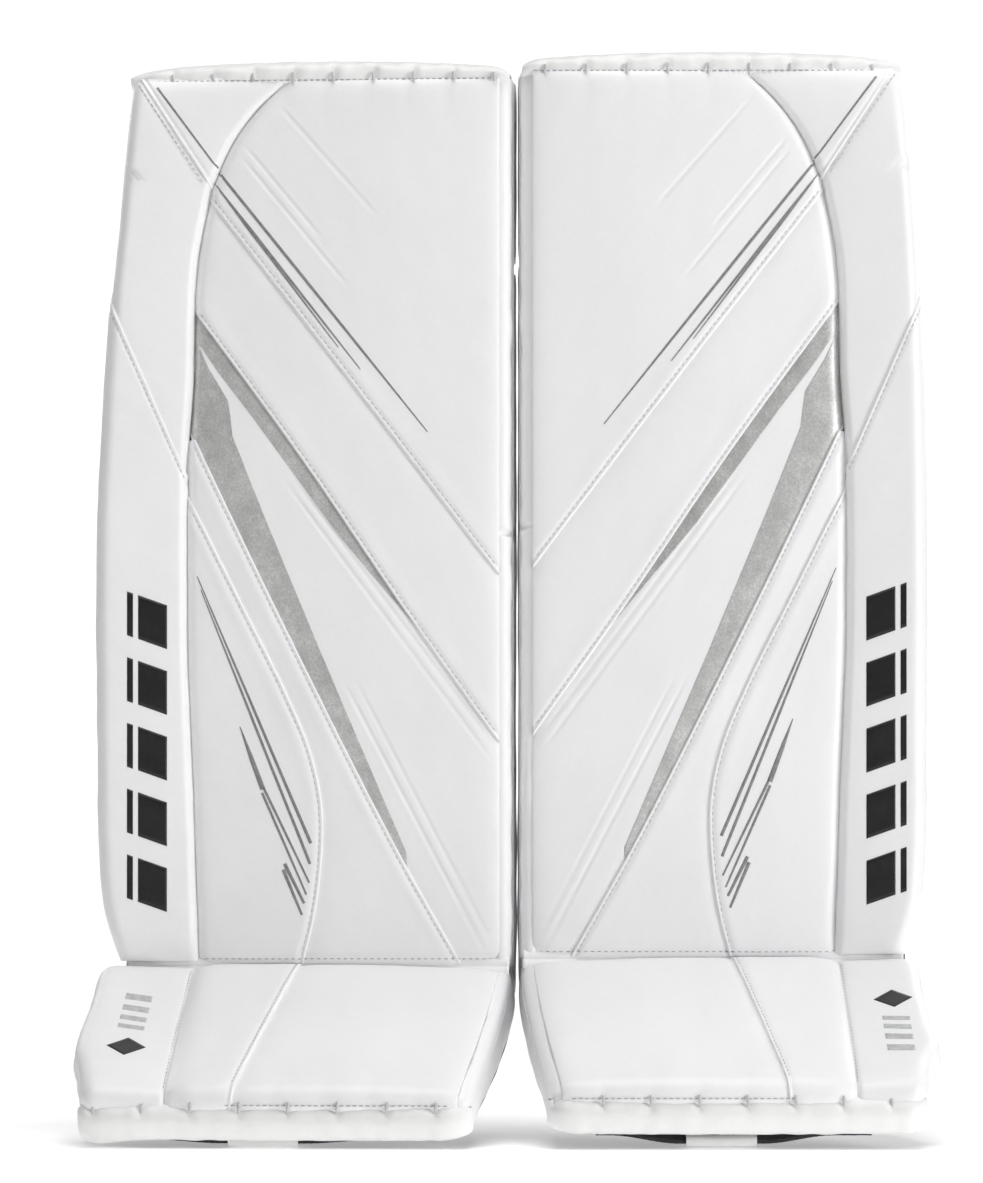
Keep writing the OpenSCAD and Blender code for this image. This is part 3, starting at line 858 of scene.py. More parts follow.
def roll_rise(z):
    low = np.clip((z - 3.0) / 24, 0, 1)
    top = np.clip((FACE_TOP + 6 - z) / 60, 0, 1)
    rise = 1.2 + (ROLL_H - 0.8) * np.sin(low * math.pi / 2) ** 0.7 * (
        0.45 + 0.55 * np.sin(top * math.pi / 2))
    # eases to the seam of the top binding
    below = np.clip(FACE_TOP + 1 - z, 0, None)
    return SEAM_RISE + (rise - SEAM_RISE) * (1 - fade(below, 5.0))


# How far the roll swells past the board, and each pad's share of it
roll_swell = Curve([(-30, 7.0), (60, 7.0), (300, 7.5), (380, 5), (460, 2.2), (510, 0), (640, 0)])
SWELL = {"right": 1.0, "left": 0.0}


def notch(z):
    """How far the roll draws in above the ankle."""
    return 8.5 * fade(z, 15)


seam_corner = Curve([(500, 183.6), (532, 204.5), (600, 249), (640, 275.2)], smooth=False)
seam_side = Curve([(200, 285), (223, 338), (276, 460), (300, 492), (330, 530)], smooth=False)


ROLL_START = [0, 0.003, 0.01, 0.022, 0.04]     # its first columns, close together


def roll_cols(n):
    return ROLL_START + list(np.linspace(ROLL_START[-1] + 0.016, 1, n))


def build_roll(pad):
    s = pad.side
    roll = Roll(pad.leg, roll_edge, outer_edge, roll_rise, const(ROLL_SIDE),
                lambda z: SWELL[s] * roll_swell(z) - notch(z))
    corner_edge = seam_corner.line(505, 612)
    side_edge = np.stack([np.linspace(214, 306, 120), seam_side(np.linspace(214, 306, 120))], 1)
    zero, end = const(0.0), const(1.0 + SIDE_P)

    def sunk(u, z):
        """The middle piece dips where the other two lap over it."""
        return (-0.8 * np.exp(-distance(u, z, corner_edge) / 4)
                - 0.8 * np.exp(-distance(u, z, side_edge) / 4))

    middle = roll.panel(pad, s + "_roll_middle", lambda u: seam_side(u) - 6, const(FACE_TOP + 2),
                        lambda z: roll.p(seam_corner(z) - 6, z), end,
                        spread(SOFT, SOFT, 230, 3.0), roll_cols(60), 0.0, extra=sunk)
    attach(pad, middle, "knee", "thigh_roll", padded=0.85)

    corner = roll.panel(pad, s + "_roll_corner", const(533.5), const(FACE_TOP + 2), zero,
                        lambda z: roll.p(seam_corner(z), z), spread(SOFT, SOFT, 74, 2.2),
                        [*ROLL_START, *np.linspace(0.06, 0.84, 22),
                         *(1 - 0.14 * np.linspace(1, 0, 18) ** 1.7)], 0.9, corner_edge, seed=3)
    attach(pad, corner, "thigh", padded=0.85)

    lower = roll.panel(pad, s + "_roll_lower", const(4.2), seam_side, zero, end,
                       spread((0, 0.6, 1.6, 3, 5, 8), FINE, 380, 3.0), roll_cols(60), 1.2,
                       side_edge, seed=5)
    attach(pad, lower, "shin", "shin_roll", padded=0.85)

    # Stitch rows along the two lapped edges
    line = offset_line(corner_edge, -STITCH_IN)
    line = line[(line[:, 1] < FACE_TOP) & (line[:, 1] > 536)]
    for name, line, level, body, seed in (
            ("corner", line, 0.9, "thigh", 7),
            ("side", offset_line(side_edge, -STITCH_IN), 1.2, "shin", 8)):
        u, z = line.T
        p = roll.p(u, z)
        keep = (p > 0.04) & (p < 1.45)
        pts, tip = (roll.place(p[keep], z[keep], np.full(keep.sum(), level + d))
                    for d in (-0.7, 0.3))
        sewn(pad, "stitches_" + name, stitch_row(pts, (tip - pts).mean(0), seed=seed), body)

    # A column of slanted black bars, and the printed line over the top corner
    bars = []
    for k in range(5):
        z0, z1 = 38 + 45 * k, 75 + 45 * k
        bars.append(roll.patch([(236, z0), (255.5, z0 + 7), (255.5, z1), (236, z1 - 7)], 1.2,
                               side_edge, 5))
        bars.append(roll.patch([(259, z0 + 8), (263, z0 + 9.5), (263, z1 + 2.5), (259, z1 + 1)],
                               1.2, side_edge, 5))
    attach(pad, join(s + "_roll_bars", bars, pad, BLACK_INK), "shin", slot="printed_ink")
    line = roll.patch([(242.2, 603.5), (243.4, 602.7), (199.2, 543.2), (198.2, 543.8)], 0.9,
                      corner_edge, 3, n=4, m=40)
    attach(pad, join(s + "_printed_line_corner", [line], pad, GREY_INK), "thigh",
           slot="printed_ink")


# ---- Sides and back ----------------------------------------------------------------------

def polypath(points, n, smooth=True):
    """n points along a curve through points of (x, y)."""
    p = np.asarray(points, float)
    return sampled(p, np.linspace(0, lengths(p)[-1], n), smooth)


def wall(name, path, span, rows, material, pad, place, relief, puff=0.0, thick=2.2):
    """A wall whose section in x and y at each height is path(z); span(y) gives its two ends and
    relief (height, scale, seed) its unevenness."""
    ra, rb, rf = (np.array(v)[:, None] for v in zip(*rows))
    z = np.zeros((len(rows), 1)) + 100.0
    for _ in range(12):
        sections = np.stack([path(float(v)) for v in z.mean(1)])
        lo, hi = span(sections[..., 1])
        z = lo + ra + rf * (hi - lo - ra - rb)
    x, y = sections[..., 0], sections[..., 1]
    t = np.gradient(sections, axis=1)
    t = t / np.linalg.norm(t, axis=2)[..., None]
    # outward is to the right of the direction from the front of one side round the back
    nx, ny = -t[..., 1], t[..., 0]
    c = np.linspace(0, 1, sections.shape[1])[None, :]
    edge = np.minimum(ra + rf * 40, 12) / 12
    other = np.minimum(rb + (1 - rf) * 40, 12) / 12
    crown = puff * np.sin(math.pi * c) ** 0.6 * np.sin(np.clip(np.minimum(edge, other), 0, 1)
                                                      * math.pi / 2)
    height, scale, seed = relief
    out = crown + height * ripple(x + y, z, scale, seed)
    front = place(x + nx * out, y + ny * out, z)
    back = place(x + nx * (out - thick), y + ny * (out - thick), z)
    return slab(name, front, back, pad, material)


def pipe(points, radius, sides=8):
    """Tube through points (n x 3, metres)."""
    p = np.asarray(points, float)
    t = np.gradient(p, axis=0)
    t /= np.linalg.norm(t, axis=1)[:, None] + 1e-12
    a = np.eye(3)[np.argmin(np.abs(t[0]))]
    rings = []
    for i in range(len(p)):
        a = a - t[i] * (a @ t[i])
        a /= np.linalg.norm(a)
        b = np.cross(t[i], a)
        k = 0.55 if i in (0, len(p) - 1) else 1
        rings.append([p[i] + radius * MM * k * (a * math.cos(q) + b * math.sin(q))
                      for q in np.linspace(0, 2 * math.pi, sides, endpoint=False)])
    return tube(np.array(rings))


PINCH = 297.0          # height at which the edge beside the face is pinched in


def build_sides(pad):
    s = pad.side

    def medial(z):
        pinch = 1.4 * groove(z - PINCH, 3.0)
        return polypath([(0.7 + pinch, 14.5), (-0.7 + pinch, 24), (-0.9, 34), (0.2, 44),
                         (2.6, 50.2)], 18)

    def back(z):
        o = float(outer_edge(z))
        return polypath([(2.6, 50.4), (7.5, 52.3), (o / 2, BACK_Y), (o - 7.5, 52.3),
                         (o - 2.6, 50.4)], 70)

    def outer(z):
        o, n = float(outer_edge(z)), float(notch(z))
        return polypath([(o - 2.6, 50.2), (o - 0.2 - 0.4 * n, 45), (o + 1.0 - 0.8 * n, 36),
                         (o + 0.6 - n, 27.5)], 14)

    shin_span = lambda y: (1.2 - y * ANKLE_FOLD, np.full_like(y, KNEE - 0.9))
    thigh_span = lambda y: (KNEE + 0.9 + y * KNEE_FOLD, np.full_like(y, FACE_TOP + 1))
    rows = spread((0, 0.8, 2, 4, 8), (0, 0.8, 2, 4, 8), 470, 5)
    rows_thigh = spread((0, 0.8, 2, 4, 8), (0, 0.8, 2, 4, 8), 120, 4)
    for body, span, r in (("shin", shin_span, rows), ("thigh", thigh_span, rows_thigh)):
        for name, path, mat, puff, seed, nodes in (
                ("side_medial", medial, WHITE, 0.5, 32, ()),
                ("back", back, LINER, 0.3, 33, (body + "_cover", body + "_core")),
                ("side_outer", outer, WHITE, 0.5, 34, ())):
            obj = wall(f"{s}_{body}_{name}", path, span, r, mat, pad, pad.leg, (0.25, 60, seed),
                       puff)
            attach(pad, obj, body, *nodes)
        # Piping along the two back corners
        lo, hi = span(np.array([50.3]))
        z = np.linspace(lo[0] + 1, hi[0] - 1, 60)
        parts = [pipe(pad.leg(np.full_like(z, 2.0), 51.2, z), 1.7),
                 pipe(pad.leg(outer_edge(z) - 2.0, 51.2, z), 1.7)]
        attach(pad, join(f"{s}_{body}_piping", parts, pad, WHITE_SOFT), body)
        # A row of stitches beside each, and one along each end of the back
        behind = np.array(pad.ey)
        ends = np.linspace(10, float(outer_edge(z.mean())) - 10, 120)
        parts = []
        for x in (8.0, outer_edge(z) - 8.0):
            parts += stitch_row(pad.leg(x, 52.9, z), behind, pitch=4.8, radius=0.45, seed=14)
        for up in (z[0] + 7, z[-1] - 7):
            parts += stitch_row(pad.leg(ends, 53.1, up), behind, pitch=4.8, radius=0.45, seed=15)
        sewn(pad, body + "_back_stitches", parts, body, THREAD_PAINTED_SHADE)

    # Edge gusset beside the face, in one length from ankle to top
    z = np.concatenate([np.linspace(0.6, 290, 90), np.linspace(291, 303, 25),
                        np.linspace(306, FACE_TOP + 1, 90)])[:, None]
    a = np.linspace(0, 1, 12)[None, :]
    k = np.clip(a / 0.62, 0, 1) * math.pi / 2
    x = FACE_X + 1.2 - (FACE_X + 0.9) * np.sin(k) ** 1.05 + 0 * z
    y = 0.4 - 1.1 * np.sin(2 * k) + 9.0 * (1 - np.cos(k)) + np.clip(a - 0.62, 0, 1) / 0.38 * 6.2
    tuck = groove(z - PINCH, 2.2) * np.sin(np.clip(a * 1.3, 0, 1) * math.pi) ** 0.7
    swell = 0.35 * ripple(z, 0 * z, 46, 41) + 0.5 * groove(z - PINCH, 11)
    x = x + tuck * 2.4 - swell * np.sin(k)
    y = y + tuck * 1.6 - 0.5 * swell * np.cos(k)
    attach(pad, slab(s + "_edge_gusset", pad.leg(x, y, z), pad.leg(x + 1.6, y + 1.9, z), pad,
                     WHITE), "knee")
    z = np.linspace(1, FACE_TOP, 220)
    attach(pad, join(s + "_edge_piping", [
        pipe(pad.leg(0.15 + 1.2 * groove(z - PINCH, 3), 14.9, z), 1.0),
        pipe(pad.leg(outer_edge(z) + 0.3 - notch(z), ROLL_SIDE + 0.2, z)[4:], 1.3)], pad,
                     WHITE_SOFT), "knee")

    bellows(pad, "knee_bellows", outer_edge(KNEE), (13, 24), 52.4, 2.6, 6.5, 150,
            lambda x, y: pad.leg(x, y, KNEE - 2.5),
            lambda x, y: pad.leg(x, y, KNEE + 2.5 + y * KNEE_FOLD),
            pad.leg(MID_X, 30, KNEE), pad.leg(MID_X, 30, KNEE + 3 + 30 * KNEE_FOLD))


def bellows(pad, name, o, ends, back, inset, deep, n, low, high, start, end):
    """A fold of cloth behind a break, drawn in half way up. low(x, y) and high(x, y) place its two
    edges; start and end are not used."""
    front, inner = [], []
    for grid, depth in ((front, 0.0), (inner, 1.4)):
        for v in np.linspace(0, 1, 13):
            i = inset + deep * math.sin(math.pi * v) + depth
            x, y = polypath([(i, ends[0]), (i, 40), (1.5 + i, back - 2.9 - i), (9, back - i),
                             (o / 2, back - i), (o - 9, back - i),
                             (o - 1.5 - i, back - 2.9 - i), (o - i, 40), (o - i, ends[1])],
                            n, smooth=False).T
            grid.append(low(x, y) * (1 - v) + high(x, y) * v)
    obj = slab(f"{pad.side}_{name}", np.stack(front), np.stack(inner), pad, NYLON)
    tuple(start)
    tuple(end)
    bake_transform(obj)


# ---- Boot --------------------------------------------------------------------------------

boot_in = Curve([(-30, 0), (0, 0), (60, 4), (110, 9), (150, 14), (180, 17.5), (200, 19)])
boot_out = Curve([(d, v * PAD_W) for d, v in ((-30, 0.955), (0, 0.962), (60, 0.975),
                                              (110, 0.982), (150, 0.957), (180, 0.946),
                                              (200, 0.943))])
boot_seam = Curve([(-10, 141.4), (0, 143), (180, 172), (200, 175.2)], smooth=False)
WRAP_R = 9.0           # radius at which the panels turn over the toe
WRAP_AT = 175.0        # where the turn starts
WRAP_END = 186.0       # distance along the panels of the toe binding's seam


def sole(d):
    return TOE_T + 0.5 + (BOOT_BACK - TOE_T - 0.5) * (BOOT_LEN - d) / BOOT_LEN


def over_toe(s):
    """Distances along a boot panel to (distance down, turn of the surface in radians)."""
    turn = np.clip(s - WRAP_AT, 0, None) / WRAP_R
    return np.minimum(s, WRAP_AT) + WRAP_R * np.sin(turn), turn


def boot_place(pad, x, s, h):
    d, turn = over_toe(s)
    return pad.boot(x, -h * np.cos(turn) + WRAP_R * (1 - np.cos(turn)), -(d + h * np.sin(turn)))


# How far the boot's roll swells past its board, on each pad
BOOT_SWELL = {"right": 12.0, "left": 1.0}
# How far its corner, two thirds of the way down, juts out
BOOT_CORNER = {"right": 2.0, "left": 5.0}


def boot_height(x, s, outer_piece, edge):
    left, right = x - boot_in(s) - FACE_X, WING_SEAM - x
    h = 1.8 + 1.4 * np.sin(np.clip(s / 180, 0, 1) * math.pi) ** 0.7
    h = h + 5.5 * (1 - ((x - 128) / 130) ** 2)
    h = h - 6.6 * fade(s - 1, 4.5) - 1.8 * fade(left, 4.5) - 3.4 * fade(right, 4.0)
    before = np.clip(WRAP_END + 1 - s, 0, None)
    h = h - 2.6 * fade(before, 3.0) - pucker(x, TOE_TIES["left"], 5.0) * fade(before, 10)
    if outer_piece:
        d = distance(x, s, edge)
        h = h + 1.2 - 0.8 * groove(d - STITCH_IN, 1.15) - 1.4 * (1 - quarter(d, 1.3))
    else:
        h = h - 0.9 * np.exp(-distance(x, s, edge) / 4.5)
    return h + 0.25 * ripple(x, s, 90, 51) + 0.1 * ripple(x, s, 30, 52)


def build_boot(pad):
    s = pad.side
    edge = boot_seam.line(-5, 192)
    rows = spread((0, 0.5, 1.2, 2.4, 4, 6.5), (0, 0.8, 2, 4), 170, 2.6)
    for name, outer_piece, left, right, cols in (
        ("boot_panel_inner", False, lambda d: boot_in(d) + FACE_X, lambda d: boot_seam(d) + 6,
         spread(SOFT, SOFT, 140, 2.8)),
        ("boot_panel_outer", True, boot_seam, const(WING_SEAM + 1.0),
         spread(FINE, SOFT, 60, 2.4)),
    ):
        x, d = region(const(2.2), const(WRAP_END + 1), left, right, rows, cols)
        h = boot_height(x, d, outer_piece, edge)
        obj = slab(f"{s}_{name}", boot_place(pad, x, d, h)[::-1],
                   boot_place(pad, x, d, h - 3.0)[::-1], pad, WHITE)
        attach(pad, obj, "boot", *(["boot_panels"] if outer_piece else []), padded=0.9)
    line = offset_line(edge, -STITCH_IN)
    line = line[(line[:, 1] > 5) & (line[:, 1] < 176)]
    pts = boot_place(pad, line[:, 0], line[:, 1], boot_height(line[:, 0], line[:, 1], True, edge))
    normal = pad.boot(0, -1, 0) - pad.boot(0, 0, 0)
    sewn(pad, "stitches_boot", stitch_row(pts, normal, seed=9), "boot")

    # Outer roll of the boot, in one piece over the toe
    def rise(d):
        low = np.clip((d - 2.5) / 16, 0, 1)
        toe = np.clip((WRAP_END + 6 - d) / 40, 0, 1)
        return 0.8 + 8.0 * np.sin(low * math.pi / 2) ** 0.8 * (0.3 + 0.7 * np.sin(
            toe * math.pi / 2)) - 2.0 * fade(WRAP_END + 1 - d, 4)

    def bulged(d):
        return (boot_out(d) + BOOT_SWELL[s] + 2.6 * groove(d - 16, 28)
                + BOOT_CORNER[s] * groove(d - 130, 17) - 14.0 * fade(d - 2, 4.0)
                - 4.0 * fade(WRAP_END + 1 - d, 11))

    roll = Roll(lambda x, y, d: boot_place(pad, x, d, -y), const(WING_SEAM), bulged, rise,
                lambda d: np.clip(sole(d) * 0.42, 10, 22))
    obj = roll.panel(pad, s + "_boot_roll_skin", const(2.6), const(WRAP_END + 1), const(0.0),
                     const(1.0 + SIDE_P), spread((0, 0.5, 1.3, 2.6, 4.5, 7), (0, 1, 3), 175, 3.0),
                     roll_cols(56), 0.4, seed=11)
    attach(pad, obj, "boot", "boot_roll", padded=0.85)
    # a diamond and four bars, the other way up on the left pad
    turn = 1 if s == "right" else -1

    def marked(points):
        points = [(x, 96 + turn * d) for x, d in points]
        return roll.patch(points[::-turn], 0.4, seed=11)

    diamond = [marked([(236, 28), (249, 16), (262, 28), (249, 40)])]
    bars = [marked([(240, d0), (258, d0 - 3), (258, d0 + w - 3), (240, d0 + w)])
            for d0, w in ((0, 5), (-12, 6), (-26, 7), (-42, 8))]
    for name, parts, mat in (("diamond", diamond, BLACK_INK), ("bars", bars, PALE_INK)):
        attach(pad, join(f"{s}_boot_{name}", parts, pad, mat), "boot", slot="printed_ink")
    d = np.linspace(9, 174, 200)
    p = np.full_like(d, 0.14)
    pts, tip = roll.place(p, d, 0 * d + 0.3), roll.place(p, d, 0 * d + 1.3)
    sewn(pad, "stitches_boot_roll", stitch_row(pts, (tip - pts).mean(0), seed=10), "boot")

    # Sides and sole
    def medial(d):
        i, b = float(boot_in(d)), float(sole(d))
        return polypath([(i + 0.6, 9.5), (i - 0.6, b * 0.45), (i + 0.2, b * 0.8), (i + 2.6, b - 1.6)],
                        16)

    def under(d):
        i, o, b = float(boot_in(d)), float(boot_out(d)), float(sole(d))
        return polypath([(i + 2.6, b - 1.4), (i + 7.5, b), ((i + o) / 2, b + 0.3), (o - 7.5, b),
                         (o - 2.6, b - 1.4)], 60)

    def outer(d):
        o, b = float(bulged(d)), float(sole(d))
        return polypath([(o - 2.6, b - 1.6), (o + 0.4, b * 0.8), (o + 0.6, float(roll.side(d)))],
                        12)

    # the boot's distances grow downwards, so the sections are turned over
    flipped = lambda x, y, d: pad.boot(x, y, -d)[::-1]
    for name, path, mat, nodes in (
            ("side_medial", medial, WHITE, ()),
            ("sole", under, BLACK_LEATHER, ("boot_cover", "boot_core")),
            ("side_outer", outer, WHITE, ())):
        obj = wall(f"{s}_boot_{name}", lambda d: path(min(max(d, -25), 200)),
                   lambda y: (1.2 - y * ANKLE_FOLD, np.full_like(y, 181.0)),
                   spread((0, 0.8, 2, 4, 8), (0, 1, 3), 170, 4.5), mat, pad, flipped,
                   (0.2, 50, 61))
        attach(pad, obj, "boot", *nodes)

    # Gusset beside the inner panel
    d = np.linspace(1.2, WRAP_END, 90)[:, None]
    a = np.linspace(0, 1, 12)[None, :]
    k = np.clip(a / 0.75, 0, 1) * math.pi / 2
    x = boot_in(d) + FACE_X + 1.2 - (FACE_X + 0.8) * np.sin(k)
    y = 0.4 - 1.0 * np.sin(2 * k) + 8.0 * (1 - np.cos(k)) + np.clip(a - 0.75, 0, 1) / 0.25 * 3
    y = y - 0.3 * ripple(d, 0 * d, 30, 71)
    obj = slab(s + "_boot_gusset", boot_place(pad, x, d, -y)[::-1],
               boot_place(pad, x + 1.4, d, -y - 1.8)[::-1], pad, WHITE)
    attach(pad, obj, "boot")

    # Fold across the ankle, in front of the cores
    x = np.linspace(1.5, 262.0 + 3 * SWELL[s], 140)[None, :]
    t = np.linspace(-1, 1, 17)[:, None]
    inset = 2.4 - 4.6 * (1 - t * t) + 0.25 * ripple(x, 0 * x, 25, 81)
    up = 8.0 * t
    leg_part = pad.leg(x, inset, np.maximum(up, 0))
    boot_part = pad.boot(x, inset, np.minimum(up, 0))
    mixw = np.clip(0.5 + t / 0.5 / 2, 0, 1)[..., None]
    f = leg_part * mixw + boot_part * (1 - mixw)
    back = f + np.array(pad.ey) * 2.0 * MM
    obj = slab(s + "_ankle_fold", f, back, pad, WHITE)
    a, b = pad.leg(MID_X, 0, 5.0), pad.boot(MID_X, 0, -5.0)
    tuple(a)
    tuple(b)
    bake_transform(obj)

    bellows(pad, "ankle_bellows", float(outer_edge(0)), (6, 6), 51.4, 2.4, 6.0, 160,
            lambda x, y: pad.boot(x, y, -3.0 + y * ANKLE_FOLD),
            lambda x, y: pad.leg(x, y, 3.0 - y * ANKLE_FOLD),
            pad.leg(MID_X, 30, 1.0 - 30 * ANKLE_FOLD), pad.boot(MID_X, 30, -1.0 + 30 * ANKLE_FOLD))


# ---- Bindings ----------------------------------------------------------------------------

def tie(a, b, normal, radius=1.15):
    return capsule(a, b, normal, radius * MM, lift=0.7, sides=10, arch=1.3)


def cap_columns(x0, x1, end, n=220):
    """Places along a binding, closer together at its two rounded ends."""
    t = 1 - np.cos(np.linspace(0, math.pi / 2, 22))
    return np.concatenate([x0 + end * t[:-1], np.linspace(x0 + end, x1 - end, n),
                           (x1 - end * t[:-1])[::-1]])


def section(q, e):
    """A point of a squarish round, at angle q from its front: (depth, rise), each -1 to 1."""
    c, sn = np.cos(q), np.sin(q)
    return -np.sign(c) * np.abs(c) ** (2 / e), np.sign(sn) * np.abs(sn) ** (2 / e)


def round_ends(x, x0, x1, low, high):
    """1 along a binding, falling to 0 round its two ends."""
    a, b = np.clip((x - x0) / low, 0, 1), np.clip((x1 - x) / high, 0, 1)
    return np.sqrt(1 - (1 - a) ** 2) * np.sqrt(1 - (1 - b) ** 2.2)


TOE_Y, TOE_D = 17.8, 178.0       # middle of the toe binding's section: depth, and distance down
TOE_RY, TOE_RD = 14.6, 14.6
TOE_SLIM = {"right": 1.8, "left": 1.5}     # how much less deep each pad's binding is
TOE_BULB = {"right": 1.9, "left": 0.0}     # how much of that it gains back at its outer end


def toe_ends(pad):
    return float(boot_in(183)) - 1.5, float(boot_out(183)) + 2.0 + BOOT_SWELL[pad.side]


def toe_surface(pad, x, q, out=0.0):
    """A point of the toe binding: q is the angle round it from its front."""
    x, q = np.broadcast_arrays(np.asarray(x, float), np.asarray(q, float))
    x0, x1 = toe_ends(pad)
    full = round_ends(x, x0, x1, 22, 17)
    c, sn = section(q, 2.7)
    drawn = pucker(x, TOE_TIES[pad.side], 3.4) * groove(np.degrees(q) - 35, 26)
    wave = 1 + 0.012 * ripple(x, 0 * x, 17, 91) + 0.008 * ripple(x, np.degrees(q) * 0.4, 12, 92)
    k = (1 - 0.085 * drawn) * wave
    bow = 1.8 * (1 - ((x - 134) / 134) ** 2)
    slim = TOE_SLIM[pad.side] - TOE_BULB[pad.side] * groove(x - x1 + 12, 18)
    y = TOE_Y - slim + (TOE_RY - slim + out) * c * (0.5 + 0.5 * full) * k
    d = TOE_D + (TOE_RD + bow + out) * sn * (0.2 + 0.8 * full) * k
    return pad.boot(x, y, -d)


TOP_X = (1.2, 262.0)


def top_surface(pad, x, q, out=0.0):
    """A point of the binding across the top: q is the angle over it from its front."""
    x, q = np.broadcast_arrays(np.asarray(x, float), np.asarray(q, float))
    full = round_ends(x, *TOP_X, 14, 42)
    c, sn = section(q, 2.9)
    drawn = pucker(x, TOP_TIES[pad.side], 3.2) * groove(np.degrees(q) - 8, 24)
    wave = 1 + 0.014 * ripple(x, np.degrees(q) * 0.3, 20, 95)
    arch = np.clip(np.sin(np.clip((x - TOP_X[0]) / (TOP_X[1] - TOP_X[0]), 0, 1) * math.pi), 0, 1)
    over = (6.5 + 7.2 * arch ** 0.6) * (0.35 + 0.65 * full) + out
    y = 24.6 + (28.6 + out) * c * (0.85 + 0.15 * full) * wave * (1 - 0.035 * drawn)
    z = 610.0 + np.where(sn > 0, over, 7.0) * sn * (1 - 0.06 * drawn) * wave
    return pad.leg(x, y, z)


def binding(pad, name, surface, x, angles, body, node):
    q = np.radians(np.linspace(*angles, 30))[None, :]
    x = x[:, None]
    obj = slab(f"{pad.side}_{name}", surface(pad, x, q), surface(pad, x, q, -2.0), pad, WHITE_SOFT)
    attach(pad, obj, body, node, padded=0.7)


def build_bindings(pad):
    x0, x1 = toe_ends(pad)
    binding(pad, "toe_binding_roll", toe_surface, cap_columns(x0, x1, 15), (8, 200), "boot",
            "toe_binding")
    n = pad.boot(0, -0.75, -0.65) - pad.boot(0, 0, 0)

    def panel_end(x, before, lift):
        """A point on the boot's panels just before the toe seam."""
        d = WRAP_END - before
        h = boot_height(x, d, False, [(400, 0), (400, 1)])
        return boot_place(pad, x, d, h + lift)

    parts = [tie(panel_end(np.array(t - 0.3), 3.2, 0.4),
                 toe_surface(pad, t + 0.3, math.radians(43), 0.3), n)
             for t in TOE_TIES[pad.side] if t < x1 - 8]
    xs = np.linspace(x0 + 14, x1 - 16, 300)
    row = panel_end(xs, 0 * xs + 1.6, 0.5)
    parts_row = stitch_row(row, n, pitch=4.2, length=2.9, radius=0.42, seed=12)
    sewn(pad, "toe_ties", parts, "boot")
    sewn(pad, "stitches_toe", parts_row, "boot", THREAD_PAINTED_SHADE)

    binding(pad, "top_binding_roll", top_surface, cap_columns(*TOP_X, 18), (-58, 203), "thigh",
            "top_binding")
    n = -np.array(pad.ey)
    parts = []
    for t in TOP_TIES[pad.side]:
        h = face_height("upper", np.array(t), np.array(FACE_TOP - 2.2))
        a = pad.leg(t - 0.2, -(h + 0.2), FACE_TOP - 2.2)
        parts.append(tie(a, top_surface(pad, t + 0.2, math.radians(8), 0.3), n))
    sewn(pad, "top_ties", parts, "thigh")
    xs = np.linspace(TOP_X[0] + 6, TOP_X[1] - 16, 300)
    parts = stitch_row(pad.leg(xs, 0 * xs - SEAM_RISE - 0.7, FACE_TOP + 0.1 + 0 * xs), n,
                       pitch=4.2, length=3.0, radius=0.4, seed=13)
    sewn(pad, "stitches_top", parts, "thigh", THREAD_PAINTED_SHADE)


# ---- Pads behind the leg -----------------------------------------------------------------

class Plain:
    """The pad's own frame, unplaced: pieces simulated once are then set on both pads."""

    flip = False

    @staticmethod
    def leg(x, y, up):
        return np.stack(np.broadcast_arrays(x, y, np.asarray(up, float) + ANKLE_Z), -1) * MM


def soften(obj, voxel, pinned, limit, keep_in, pressure=4.0):
    """Inflates a closed mesh as cloth. pinned(co) says which points a seam holds, limit is how far
    a point may move, and keep_in(co) puts a point back in its room (all in millimetres)."""
    bpy.context.view_layer.objects.active = obj
    mod = obj.modifiers.new("remesh", "REMESH")
    mod.mode, mod.voxel_size = "VOXEL", voxel * MM
    bpy.context.view_layer.update()
    deps = bpy.context.evaluated_depsgraph_get()
    mesh = bpy.data.meshes.new_from_object(obj.evaluated_get(deps))
    obj.modifiers.clear()
    obj.data = mesh
    start = coords(mesh)
    group = obj.vertex_groups.new(name="seams")
    group.add([int(i) for i in np.nonzero(pinned(start / MM))[0]], 1.0, "ADD")
    cloth = obj.modifiers.new("cloth", "CLOTH")
    c = cloth.settings
    c.quality, c.mass = 5, 0.25
    c.tension_stiffness = c.compression_stiffness = 12
    c.shear_stiffness, c.bending_stiffness = 6, 0.3
    c.use_pressure, c.uniform_pressure_force = True, pressure
    c.effector_weights.gravity = 0
    c.vertex_group_mass = "seams"
    cloth.point_cache.frame_start, cloth.point_cache.frame_end = 1, 20
    scene = bpy.context.scene
    for f in range(1, 21):
        scene.frame_set(f)
    deps = bpy.context.evaluated_depsgraph_get()
    after = coords(obj.evaluated_get(deps).data)
    obj.modifiers.clear()
    scene.frame_set(1)
    move = after - start
    far = np.linalg.norm(move, axis=1)[:, None] + 1e-12
    start = start + move / far * np.minimum(far, limit * MM)
    end = keep_in(start / MM) * MM
    mesh.vertices.foreach_set("co", end.ravel())
    mesh.update()


def subdivided(obj):
    mod = obj.modifiers.new("subdivide", "SUBSURF")
    mod.levels = mod.render_levels = 1
    deps = bpy.context.evaluated_depsgraph_get()
    obj.data = bpy.data.meshes.new_from_object(obj.evaluated_get(deps))
    obj.modifiers.clear()
    obj.data.polygons.foreach_set("use_smooth", [True] * len(obj.data.polygons))


def set_on(pad, name, source, materials, index):
    """A copy of an unplaced mesh on one pad; index(centres) picks each face's material."""
    faces = [tuple(p.vertices) for p in source.data.polygons]
    co = coords(source.data) / MM
    obj = make(name, pad.place(co), faces, pad, materials)
    centres = np.array([co[list(f)].mean(0) for f in faces])
    obj.data.polygons.foreach_set("material_index", index(centres).astype(int))
    return obj


